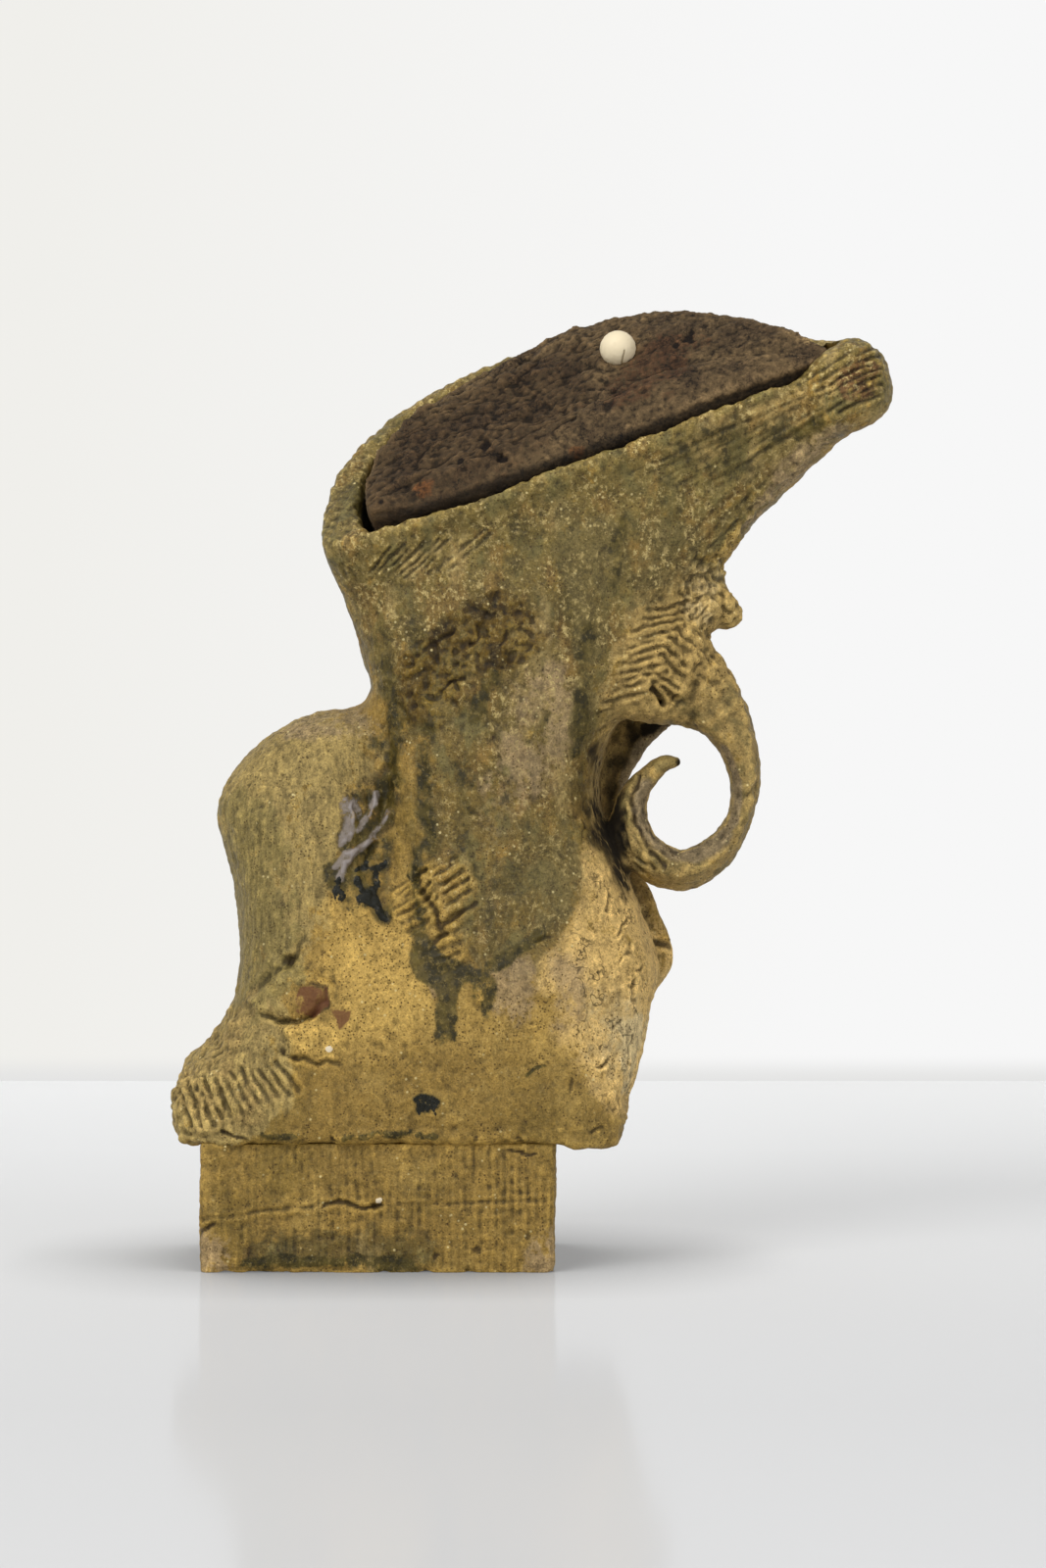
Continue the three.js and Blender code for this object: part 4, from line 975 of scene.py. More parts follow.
def mark_runs(front):
    """Dark olive glaze: a pool that ran down from the comb patch, and thinner films."""
    left_pool = [
        (418, 940), (434, 946), (444, 966), (458, 982), (470, 985), (487, 989), (497, 983),
        (504, 1000), (503, 1026), (501, 1046), (494, 1047), (490, 1030), (482, 1018), (478, 1004),
        (470, 1004), (468, 1030), (465, 1046), (465, 1062), (457, 1060), (450, 1064), (446, 1050),
        (446, 1030), (450, 1018), (438, 1002), (425, 998), (418, 975),
    ]
    front.paint("green", left_pool, 11)
    front.swell(left_pool, 0.35, 8)
    films = [
        ([(438, 742), (430, 770), (433, 820), (440, 868)], 9, 0.7),
        ([(428, 868), (420, 895), (428, 925), (430, 950)], 6, 0.8),
        ([(503, 985), (520, 975), (535, 966), (550, 955)], 6, 0.9),
        ([(388, 640), (396, 690), (404, 735), (402, 790)], 13, 0.5),
        ([(501, 690), (494, 710), (485, 732)], 6, 0.85),
        ([(558, 727), (550, 740), (539, 752)], 5, 0.6),
        ([(636, 530), (628, 570), (622, 600)], 7, 0.5),
        ([(470, 780), (476, 830), (470, 870)], 12, 0.4),
        ([(520, 800), (510, 850), (515, 900)], 14, 0.35),
        ([(600, 640), (596, 690), (592, 740), (587, 766)], 9, 0.5),
    ]
    for places, width, strength in films:
        front.line(places, width, -0.25, 0, "green", True, 4, strength)
    pink_gap = [(434, 990), (462, 988), (466, 1006), (444, 1016)]
    front.paint("pink", pink_gap, 14)


def mark_cracks(front):
    """Cracks in the bare clay on the right, drag marks of grains, and the neck's crease."""
    cracks = [
        ([(629, 954), (634, 944), (645, 935)], 1.3, 0.8),
        ([(606, 905), (605, 897), (611, 892)], 1.2, 0.7),
        ([(649, 998), (647, 1008), (648, 1022)], 1.4, 1.0),
        ([(650, 992), (656, 984)], 1.3, 0.7),
        ([(624, 1052), (628, 1046), (632, 1039)], 1.3, 0.8),
        ([(645, 1055), (641, 1070), (640, 1085)], 1.5, 0.9),
        ([(607, 1087), (613, 1086), (621, 1080)], 1.7, 1.2),
        ([(582, 1100), (581, 1115)], 1.2, 0.7),
        ([(544, 960), (552, 957), (562, 953)], 1.6, 0.9),
        ([(540, 1047), (548, 1045), (552, 1047)], 1.3, 0.7),
        ([(602, 1158), (614, 1151)], 1.5, 0.8),
        ([(632, 985), (640, 975), (642, 960)], 1.2, 0.6),
        ([(618, 930), (622, 915), (620, 900)], 1.2, 0.6),
        ([(594, 835), (597, 850), (594, 858)], 1.4, 0.5),
    ]
    for places, width, depth in cracks:
        front.line(places, 1.2 * width, 1.15 * depth, 0.4, ragged=3)
    crease = [(392, 745), (396, 770), (394, 800), (390, 830), (380, 860), (362, 884)]
    column_groove = [(436, 742), (428, 770), (432, 820), (440, 868)]
    front.line(crease, 7, 1.6, 0.15)
    front.line(column_groove, 7, 0.7, 0.2)


def mark_pouch(front):
    """The pouch's dark top, and the glassy run and the black drops in its crease."""
    pink_top = [(270, 735), (330, 716), (385, 735), (396, 756), (330, 752), (285, 756)]
    dark_top = [(372, 746), (392, 748), (396, 766), (378, 764)]
    front.paint("pink", pink_top, 24, 0.6)
    front.paint("moss", pink_top, 24, 0.5)
    front.paint("green", dark_top, 16, 0.7)
    olive_flank = [
        (228, 800), (250, 780), (290, 850), (320, 900), (330, 950), (300, 960), (256, 930),
        (236, 880),
    ]
    front.paint("moss", olive_flank, 40, 0.5)
    brown_field = [(352, 792), (396, 790), (400, 840), (372, 866), (346, 872), (350, 830)]
    pale_facet = [(351, 812), (369, 812), (373, 827), (361, 846), (348, 855), (347, 830)]
    green_blob = [(330, 884), (352, 874), (358, 898), (350, 912), (334, 905)]
    front.paint("scorch", brown_field, 22)
    front.paint("green", brown_field, 22, 0.8)
    # Glassy glaze, pale lavender and partly a painted highlight, on the facet and along the raised
    # folds
    front.paint("glass_and_sheen", pale_facet, 14, 0.8)
    front.paint("green", green_blob, 14, 0.8)
    sheen_folds = [
        [(343, 886), (352, 870), (370, 862), (383, 852), (396, 828)],
        [(352, 816), (362, 830), (358, 850), (348, 862)],
        [(384, 812), (378, 830), (366, 846)],
        [(346, 896), (352, 878), (364, 870)],
    ]
    # Raised folds, painted pale along their ridges as painted highlights
    for places in sheen_folds:
        front.line(places, 3.5, -0.9, 0.2, "glass_and_sheen", ragged=2.5)
    dark_folds = [
        [(362, 822), (374, 838), (366, 856)],
        [(388, 800), (392, 820), (386, 842)],
        [(376, 806), (378, 822), (370, 840)],
        [(384, 862), (376, 876), (370, 890)],
    ]
    for places in dark_folds:
        front.line(places, 3.4, 1.4, 0.2, "green", ragged=3)
    drop_chain = [
        [(363, 898), (370, 908), (378, 911), (386, 926), (391, 935)],
        [(378, 911), (384, 900), (380, 888), (391, 879)],
        [(366, 918), (376, 916), (382, 922)],
        [(364, 888), (372, 884)],
    ]
    for places in drop_chain:
        front.line(places, 3.6, -0.9, 0, "drop", True, 3)
    drops = [((347, 912), 7), ((387, 931), 7), ((345, 899), 5)]
    for place, radius in drops:
        front.spot(place, radius, -1.0, "drop", 0.8)
    stained = [(350, 868), (395, 855), (402, 880), (395, 935), (350, 920)]
    front.paint("green", stained, 26, 0.6)


def mark_skirt(front):
    """The yellow fan of sand and ash, the folds at the pouch's foot, and the torn, combed lip."""
    yellow_fan = [
        (338, 935), (350, 900), (395, 925), (424, 960), (444, 1000), (436, 1044), (390, 1068),
        (330, 1064), (338, 1020), (330, 980),
    ]
    yellow_foot = [(285, 1044), (340, 1040), (360, 1060), (340, 1084), (296, 1082)]
    yellow_haze = [
        (400, 970), (520, 1010), (640, 1040), (640, 1110), (520, 1076), (420, 1080), (300, 1090),
    ]
    front.paint("yellow", yellow_fan, 54)
    front.paint("yellow", yellow_foot, 24, 0.9)
    front.paint("yellow", yellow_haze, 50, 0.55)
    # A lobe over a crack, a lower lobe, and creases
    upper_lobe = [
        (256, 1022), (285, 992), (322, 988), (338, 1008), (326, 1028), (296, 1037), (266, 1036),
    ]
    lower_lobe = [(288, 1050), (340, 1046), (352, 1060), (340, 1078), (300, 1074)]
    fold_crack = [(268, 1036), (284, 1041), (302, 1042), (318, 1036), (330, 1022)]
    row_of_pits = [(290, 1074), (304, 1080), (326, 1083), (346, 1082)]
    flank_crease = [(262, 1008), (284, 990), (300, 978), (308, 955)]
    front.swell(upper_lobe, 3.2, 18)
    front.swell(lower_lobe, 2.2, 12)
    front.line(fold_crack, 3.0, 2.4, 0.1)
    front.line(row_of_pits, 2.6, 1.2, 0.3, ragged=4)
    front.line(flank_crease, 5, 1.8, 0.1)
    fold_pits = [((294, 979), 7, 1.4), ((288, 1073), 4, 1.3), ((301, 1080), 4, 1.3)]
    for place, radius, depth in fold_pits:
        front.spot(place, radius, depth, "groove", 0.5)
    red_scar = [(300, 1016), (318, 1006), (334, 1008), (334, 1026), (318, 1038), (304, 1034)]
    small_scar = [(338, 1030), (358, 1032), (356, 1042), (347, 1050)]
    chip = (336, 1071)
    front.paint("scar", red_scar, 12)
    front.paint("scar", small_scar, 7, 0.9)
    front.line(red_scar[1:5], 3, 0.8, 0.3, "groove")
    front.spot(chip, 4, -0.4, "chip")
    # Comb strokes on the lip: steep at its left end, leaning at the right
    lip_strokes = [[(182, 1108), (196, 1154)], [(282, 1086), (308, 1116)]]
    lip_deep = [[(183, 1112), (188, 1136)], [(206, 1104), (216, 1128)]]
    lip_crack = [(225, 1154), (236, 1159), (250, 1163)]
    front.strokes(*lip_strokes, 12, 2.8, 1.2, 0.6, 0.3)
    front.strokes(*lip_deep, 3, 2.8, 1.2, 0.4)
    front.line(lip_crack, 2, 1.6, 0.3, "groove")
    # Dark pools along the lower edge and a black drop
    pool_left = [(268, 1158), (284, 1159), (302, 1158)]
    pool_right = [(352, 1161), (385, 1157), (415, 1158), (445, 1160)]
    black_drop = [
        (422, 1122), (429, 1117), (440, 1118), (448, 1124), (443, 1131), (436, 1137), (426, 1134),
    ]
    drop_runs = [[(429, 1130), (429, 1141)], [(441, 1130), (444, 1137)]]
    small_mark = [(537, 1097), (546, 1090), (556, 1088)]
    front.line(pool_left, 3, -0.3, 0, "green", True, 2, 1.2)
    front.line(pool_right, 3.5, -0.3, 0, "green", True, 2, 1.3)
    front.paint("green", black_drop, 12)
    front.paint("drop", black_drop, 9, 0.9)
    for places in drop_runs:
        front.line(places, 1.8, -0.3, 0, "drop")
    front.line(small_mark, 2, 0.4, 0.3, "green")
    edge_pits = [(486, 1161), (531, 1166), (340, 1166)]
    for place in edge_pits:
        front.spot(place, 4, 0.8, "groove", 0.9)
    # The edge between the front and the right side
    side_edge = [(623, 1160), (628, 1110), (636, 1070), (645, 1030)]
    side_hollow = [(640, 1120), (648, 1090), (652, 1060)]
    front.line(side_edge, 8, -0.9, ragged=3)
    front.line(side_hollow, 6, 1.0, 0.3, ragged=3)


def finish_relief(clay):
    """Settles the marks, and notes how far each point stands out, which the glaze follows."""
    clay.settle()
    clay.wipe(1, 0.6)
    stands = clay.relief(9)
    clay.marks["crest"] = np.clip(stands / 0.5, 0, 1)
    if "rust" in clay.marks and "frost" in clay.marks:
        clay.marks["crest"] *= 1 - 0.6 * clay.marks["rust"]
        clay.marks["frost"] *= 1 - 0.8 * clay.marks["rust"]
    clay.marks["dent"] = np.clip(-stands / 0.5, 0, 1)


body, hollow = form_body()
report(f"forms: {len(body.quads)} quads")
work_body(body)
broad_zones(body)
front_sheet = Sheet(body)
for mark in (mark_mouth, mark_root, mark_lug, mark_curl):
    mark(front_sheet)
mark_loop(front_sheet, Sheet(body, behind=True))
for mark in (mark_rust, mark_comb, mark_ash, mark_runs, mark_cracks, mark_pouch, mark_skirt):
    mark(front_sheet)
report("marks")
finish_relief(body)
report("body done")


# Finishes


class Nodes:
    """The node tree of a material or a world, and short ways to add to it."""

    def __init__(self, owner):
        owner.use_nodes = True
        self.tree = owner.node_tree

    def node(self, kind, **settings):
        made = self.tree.nodes.new(kind)
        for name, value in settings.items():
            setattr(made, name, value)
        return made

    def plug(self, value, socket):
        """Gives a socket a value of its own, or another node's output."""
        if isinstance(value, bpy.types.NodeSocket):
            self.tree.links.new(value, socket)
        else:
            socket.default_value = value

    def math(self, operation, a, b=0.0, c=0.0, clamp=False):
        made = self.node("ShaderNodeMath", operation=operation, use_clamp=clamp)
        for value, socket in zip((a, b, c), made.inputs):
            self.plug(value, socket)
        return made.outputs[0]

    def ranged(self, value, low, high, bottom=0.0, top=1.0, kind="LINEAR"):
        """Takes a value from between low and high to between bottom and top."""
        made = self.node("ShaderNodeMapRange", interpolation_type=kind)
        ends = {"From Min": low, "From Max": high, "To Min": bottom, "To Max": top}
        for name, end in ends.items():
            made.inputs[name].default_value = end
        self.plug(value, made.inputs["Value"])
        return made.outputs["Result"]

    def blend(self, share, first, second, kind="RGBA", how="MIX"):
        """A blend of two colours, or of two numbers where its kind is FLOAT."""
        mix = self.node("ShaderNodeMix", data_type=kind, blend_type=how)
        self.plug(share, mix.inputs["Factor"])
        self.plug(first, mix.inputs["A"])
        self.plug(second, mix.inputs["B"])
        return mix.outputs["Result"]

    def between(self, share, first, second):
        """A mix of two shaders."""
        mix = self.node("ShaderNodeMixShader")
        for value, socket in zip((share, first, second), mix.inputs):
            self.plug(value, socket)
        return mix.outputs[0]

    def coloured(self, kind, colour):
        """A shader of one kind in a colour."""
        made = self.node(kind)
        self.plug(colour, made.inputs["Color"])
        return made.outputs[0]

    def surface(self, shader, end="Material Output"):
        self.plug(shader, self.tree.nodes[end].inputs["Surface"])


class Finish(Nodes):
    """A material built up in coats over a base colour."""

    def __init__(self, name, base, roughness):
        self.material = bpy.data.materials.new(name)
        super().__init__(self.material)
        self.shader = self.tree.nodes["Principled BSDF"]
        self.place = self.node("ShaderNodeTexCoord").outputs["Object"]
        self.colour = (*base, 1)
        self.gloss = roughness
        self.shader.inputs["Specular IOR Level"].default_value = 0.22
        self.broken = 0.0

    def moved(self, shift, stretch=(1, 1, 1)):
        """The place on the clay, stretched and shifted."""
        mapping = self.node("ShaderNodeMapping")
        mapping.inputs["Scale"].default_value = stretch
        mapping.inputs["Location"].default_value = (shift, shift * 0.7, shift * 1.3)
        self.plug(self.place, mapping.inputs["Vector"])
        return mapping.outputs[0]

    def noise(self, scale, detail, stretch, roughness, shift):
        made = self.node("ShaderNodeTexNoise")
        made.inputs["Scale"].default_value = scale
        made.inputs["Detail"].default_value = detail
        made.inputs["Roughness"].default_value = roughness
        self.plug(self.moved(shift, stretch), made.inputs["Vector"])
        return made.outputs["Fac"]

    def cells(self, scale, shift):
        """Distance to the nearest of scattered points."""
        made = self.node("ShaderNodeTexVoronoi")
        made.inputs["Scale"].default_value = scale
        self.plug(self.moved(shift), made.inputs["Vector"])
        return made.outputs["Distance"]

    def mark(self, name):
        return self.node("ShaderNodeAttribute", attribute_name=name).outputs["Fac"]

    def band(self, value, low, high, top=1.0):
        """Eases a value from 0 at low to top at high."""
        return self.ranged(value, low, high, 0.0, top, "SMOOTHSTEP")

    def threads(self, value, wide, thin):
        """Thin lines along which a noise is at its middle."""
        return self.band(self.math("ABSOLUTE", self.math("SUBTRACT", value, 0.5)), wide, thin)

    def coat(self, colour, weight, roughness=None):
        """Lays a coat of colour over what is there, as thick as the weight says."""
        self.colour = self.blend(weight, self.colour, (*colour, 1))
        if roughness is not None:
            self.gloss = self.blend(weight, self.gloss, roughness, "FLOAT")

    def shade(self, factor, weight):
        """Darkens or lightens what is there by a factor, as far as the weight says."""
        self.colour = self.blend(weight, self.colour, (factor, factor, factor, 1), how="MULTIPLY")

    def ragged(self, mark, spread, low, high, top=1.0):
        """A painted mark whose soft edge is broken up by the finish's own unevenness."""
        loose = self.math("MULTIPLY_ADD", self.broken, spread, 1.0)
        return self.band(self.math("MULTIPLY", self.mark(mark), loose), low, high, top)

    def coats(self, *layers):
        """Coats over marks: (mark, colour, how ragged and how full, roughness)."""
        for mark, colour, edge, roughness in layers:
            self.coat(linear(*colour), self.ragged(mark, *edge), roughness)

    def coats_within(self, area, *layers):
        """Coats inside an area: (colour, noise, where it starts and is full, strength, roughness)."""
        for colour, noise, low, high, top, roughness in layers:
            weight = self.math("MULTIPLY", area, self.band(noise, low, high, top))
            self.coat(linear(*colour), weight, roughness)

    def shades(self, *layers):
        """Darker and lighter mottles: (factor, noise, where it starts and is full, strength)."""
        for factor, noise, low, high, top in layers:
            self.shade(factor, self.band(noise, low, high, top))

    def fire(self, height, strength, distance=0.0004):
        """Joins the colour, gloss and relief to the shader."""
        bump = self.node("ShaderNodeBump")
        bump.inputs["Strength"].default_value = strength
        bump.inputs["Distance"].default_value = distance
        self.plug(height, bump.inputs["Height"])
        joined = {"Base Color": self.colour, "Roughness": self.gloss, "Normal": bump.outputs["Normal"]}
        for name, value in joined.items():
            self.plug(value, self.shader.inputs[name])
        return self.material


def linear(red, green, blue):
    """A colour given as it looks on a screen, 0 to 255, as light."""

    def light(v):
        return ((v / 255 + 0.055) / 1.055) ** 2.4 if v > 10 else v / 255 / 12.92

    return light(red), light(green), light(blue)


class AshGlaze(Finish):
    """Fired clay under ash: yellow where bare, olive under glaze, dark runs, and painted shade in
    hollows.
    """

    def __init__(self):
        super().__init__("ash_glaze_over_stoneware", linear(142, 114, 54), 0.55)
        self.slow = self.noise(48, 4, (1, 1, 0.75), 0.65, 2.2)
        self.middle = self.noise(150, 4, (1, 1, 0.8), 0.7, 3.3)
        self.fine = self.noise(430, 4, (1, 1, 0.9), 0.75, 4.4)
        self.tiny = self.noise(1200, 2, (1, 1, 1), 0.7, 5.5)
        self.fibres = self.noise(560, 3, (1, 1, 0.14), 0.65, 7.7)
        self.patches = self.noise(85, 3, (1, 1, 0.6), 0.6, 8.8)
        coarse = self.math("MULTIPLY_ADD", self.slow, 0.4, -0.5)
        coarse = self.math("MULTIPLY_ADD", self.middle, 0.35, coarse)
        self.broken = self.math("MULTIPLY_ADD", self.fine, 0.25, coarse)

    def zones(self):
        """The bare body, and what fire and ash made of it in each zone."""
        broad = self.noise(16, 4, (1, 1, 0.7), 0.6, 1.1)
        self.coat(linear(110, 90, 38), self.band(broad, 0.46, 0.64, 0.6))
        self.coat(linear(162, 134, 70), self.band(self.slow, 0.5, 0.66, 0.55))
        self.coats(
            ("pale", (152, 131, 78), (6, 0.3, 0.62, 0.85), 0.6),
            ("olive", (108, 93, 48), (6, 0.3, 0.62, 0.85), 0.45),
            ("deep", (96, 80, 38), (6, 0.3, 0.62, 0.75), 0.45),
            ("moss", (124, 109, 60), (8, 0.3, 0.62, 0.75), 0.5),
            ("tan", (160, 134, 80), (6, 0.3, 0.62, 0.88), 0.8),
            ("yellow", (184, 151, 80), (5, 0.15, 0.85, 0.92), 0.85),
            ("bare", (203, 169, 104), (7, 0.2, 0.8, 0.95), 0.85),
            ("chalk", (202, 180, 132), (7, 0.2, 0.8, 0.9), 0.85),
        )

    def clouds(self):
        """Brown and grey clouds in the olive glaze, rust and scorch, and streaks down the sides."""
        olive = self.math("MAXIMUM", self.mark("olive"), self.mark("deep"))
        runs = self.noise(60, 4, (1, 1, 0.3), 0.6, 9.9)
        self.coats_within(
            olive,
            ((126, 98, 48), self.patches, 0.52, 0.62, 0.6, None),
            ((102, 93, 53), self.patches, 0.46, 0.36, 0.7, None),
            ((76, 66, 30), runs, 0.54, 0.66, 0.6, 0.35),
            ((150, 128, 78), runs, 0.44, 0.34, 0.6, None),
        )
        self.coats(
            ("pink", (156, 132, 96), (12, 0.1, 0.95, 0.7), 0.6),
            ("slate", (107, 93, 52), (9, 0.15, 0.75, 0.8), 0.5),
            ("rust", (94, 71, 16), (12, 0.15, 0.9, 0.85), 0.55),
        )
        self.coats_within(
            self.ragged("rust", 12, 0.15, 0.9, 0.85),
            ((42, 31, 8), self.slow, 0.5, 0.58, 0.85, 0.5),
            ((142, 117, 50), self.slow, 0.47, 0.38, 0.7, 0.5),
        )
        self.coats(
            ("scorch", (84, 54, 30), (8, 0.2, 0.7, 0.85), 0.6),
            # The curl's grey inner face with painted shade along it, and the grey edge of the back
            # sheet
            ("inner", (122, 106, 80), (2.5, 0.1, 0.6, 0.85), 0.7),
        )
        streaks = self.noise(130, 5, (1, 1, 0.16), 0.7, 6.6)
        self.shades((0.66, streaks, 0.52, 0.64, 0.6), (1.22, streaks, 0.46, 0.34, 0.6))
        pale = self.mark("pale")
        self.shade(0.6, self.math("MULTIPLY", pale, self.band(self.fibres, 0.5, 0.62, 0.75)))
        self.shade(1.3, self.math("MULTIPLY", pale, self.band(self.fibres, 0.48, 0.36, 0.65)))

    def mottles(self):
        """Mottles, specks and crusts at ever finer scales."""
        self.shades((0.62, self.middle, 0.52, 0.64, 0.8), (1.32, self.middle, 0.47, 0.35, 0.7))
        clusters = self.math("MULTIPLY", self.mark("frost"), self.band(self.patches, 0.38, 0.58, 0.8))
        frost = self.math("ADD", clusters, 0.1)
        self.coats_within(frost, ((172, 152, 98), self.fine, 0.53, 0.6, 1.0, 0.7))
        self.shades(
            (0.55, self.fine, 0.46, 0.37, 0.75),
            (1.3, self.fine, 0.6, 0.72, 0.8),
            (1.45, self.tiny, 0.53, 0.66, 0.7),
            (0.52, self.tiny, 0.46, 0.34, 0.7),
        )
        specks = self.band(self.cells(620, 0.3), 0.34, 0.18)
        sand = self.noise(120, 3, (1, 1, 1), 0.7, 9.1)
        sandy = self.math("MULTIPLY_ADD", self.mark("yellow"), 0.12, sand)
        self.coats_within(specks, ((62, 42, 14), sandy, 0.48, 0.6, 0.85, None))
        crusts = self.band(self.cells(260, 1.7), 0.2, 0.08)
        crusted = self.noise(75, 2, (1, 1, 1), 0.5, 5.3)
        self.coats_within(crusts, ((206, 188, 132), crusted, 0.52, 0.62, 0.8, 0.7))

    def relief(self):
        """Glaze pools dark in the dents and thins on the crests, and the bare clay is cracked."""
        dents, crests = self.mark("dent"), self.mark("crest")
        self.shades((0.36, dents, 0.04, 0.8, 0.9), (1.5, crests, 0.08, 0.8, 0.85))
        self.coat(linear(44, 30, 10), self.band(self.mark("groove"), 0.2, 1.0, 0.6), 0.6)
        cracks = self.threads(self.noise(70, 3, (1, 1, 0.8), 0.6, 12.3), 0.014, 0.004)
        cracks = self.math("MULTIPLY", cracks, self.band(self.slow, 0.46, 0.56))
        self.shade(0.35, self.math("MULTIPLY", cracks, self.mark("bare")))

    def runs(self):
        """Dark runs, scars, painted shade, and the glassy folds and drops of the pouch's crease."""
        pool = self.ragged("green", 9, 0.1, 0.65, 0.92)
        self.coat(linear(70, 60, 21), pool, 0.42)
        self.coats_within(
            pool,
            ((38, 34, 14), self.middle, 0.5, 0.6, 0.85, 0.25),
            ((104, 90, 38), self.middle, 0.47, 0.36, 0.6, 0.45),
            ((134, 114, 62), self.fine, 0.54, 0.64, 0.6, 0.5),
        )
        self.coats(("scar", (100, 60, 36), (7, 0.25, 0.8, 0.85), 0.6))
        self.coat(linear(225, 210, 180), self.band(self.mark("chip"), 0.4, 0.6), 0.7)
        # Painted shade, near black, in the mouth and the recesses by the curl, and pale glassy glaze
        # that is partly a painted highlight
        self.coats(
            ("painted_shade", (15, 10, 4), (2, 0.05, 0.95, 0.97), 0.9),
            ("glass_and_sheen", (134, 123, 114), (10, 0.25, 0.85, 0.8), 0.14),
        )
        # Painted highlights on the crests of the glassy folds
        crests = self.mark("crest")
        self.coats_within(self.mark("glass_and_sheen"), ((160, 152, 150), crests, 0.3, 1.0, 0.6, None))
        self.coats(("drop", (24, 24, 15), (9, 0.25, 0.6), 0.12))

    def fired(self):
        """The finished material, with a fine grain in its relief."""
        grain = self.math("MULTIPLY_ADD", self.fibres, 0.15, self.math("MULTIPLY", self.tiny, 0.3))
        return self.fire(self.math("MULTIPLY_ADD", self.fine, 0.6, grain), 1.0, 0.0011)


def ash_glaze():
    """The glazed clay of the jar."""
    glaze = AshGlaze()
    glaze.zones()
    glaze.clouds()
    glaze.mottles()
    glaze.relief()
    glaze.runs()
    return glaze.fired()


clay_material = ash_glaze()

# The cuts follow the slabs that the jar was luted from
WAIST = 252
FLOOR_TOP = 66.45
SKIRT_TOP = 112
MIDDLE = (0, -2, 0)  # on the seam between the front sheets and the back ones
LIP_END = (-58, 0, 0)
RIGHT_SLAB = (92, 0, 0)
POUCH_CREASE = (-22, 0, SKIRT_TOP)  # the pouch meets the column on a line that leans to the right
CREASE_UP = Vector((18, 0, 140)).normalized()
ROOT = (113, 0, 0)
MOUTH_DEPTH = 46
BEAK_START = 205
CURL_OUTLINE = [
    (118, 150), (113.5, 172), (109.5, 180), (104.5, 190), (102, 200), (103, 212),
    (108, 222), (113, 229), (113, 260), (195, 260), (195, 150),
]
CURL_FRONT, CURL_BACK = -40, 11.7


def make(obj, name, *nodes, slot="ash_glazed_stoneware"):
    piece(obj, name, "jar", nodes, clay_material)


def make_halves(obj, front_piece, back_piece):
    """Cuts an object at the seam into a front piece and a back one: (name, node...)."""
    front, back = cut(obj, half_space(MIDDLE, FRONT))
    make(front, *front_piece)
    make(back, *back_piece)


inner, rest = cut(shown(body.mesh("jar")), hollow)
bpy.data.objects.remove(inner)
upper, lower = cut(rest, half_space((0, 0, WAIST), Z))
low_part, lower = cut(lower, half_space((0, 0, FLOOR_TOP), DOWN))
make(low_part, "plinth_floor", "floor_slab")
skirt, belt = cut(lower, half_space((0, 0, SKIRT_TOP), DOWN))
left, skirt = cut(skirt, half_space(LIP_END, LEFT))
right, skirt = cut(skirt, half_space(RIGHT_SLAB, X))
make(left, "left_lip", "skirt_left_lip")
make(right, "right_skirt", "skirt_right_slab")
make_halves(skirt, ("front_skirt", "skirt_front_slab"), ("back_skirt", "skirt_back_slab"))
column, pouch = cut(belt, half_space(POUCH_CREASE, Vector(Y).cross(CREASE_UP)))
make_halves(pouch, ("front_pouch", "shoulder_front_pouch"), ("back_pouch", "shoulder_back_pouch"))
curl, column = cut(column, prism(CURL_OUTLINE, CURL_FRONT, CURL_BACK))
make(curl, "curl", "handle_curl", slot="handle_stoneware")
back_nodes = ["body_back_sheet", "seam_fin_upper", "seam_fin_lower"]
make_halves(column, ("front_column", "body_front_sheet"), ("back_column", *back_nodes))
mouth, neck = cut(upper, half_space(MOUTH - OUT * MOUTH_DEPTH, OUT))
root, neck = cut(neck, half_space(ROOT, X))
make(root, "root_and_lug", "handle_root", "lug_pad", "lug_horn", slot="handle_stoneware")
make_halves(neck, ("front_neck", "neck_front_sheet"), ("back_neck", "neck_back_sheet"))
beak, walls = cut(mouth, half_space(MOUTH + ALONG * BEAK_START, ALONG))
make(beak, "beak", "beak_tip")
make_halves(walls, ("front_mouth", "mouth_front_wall"), ("back_mouth", "mouth_back_wall"))
report("pieces")


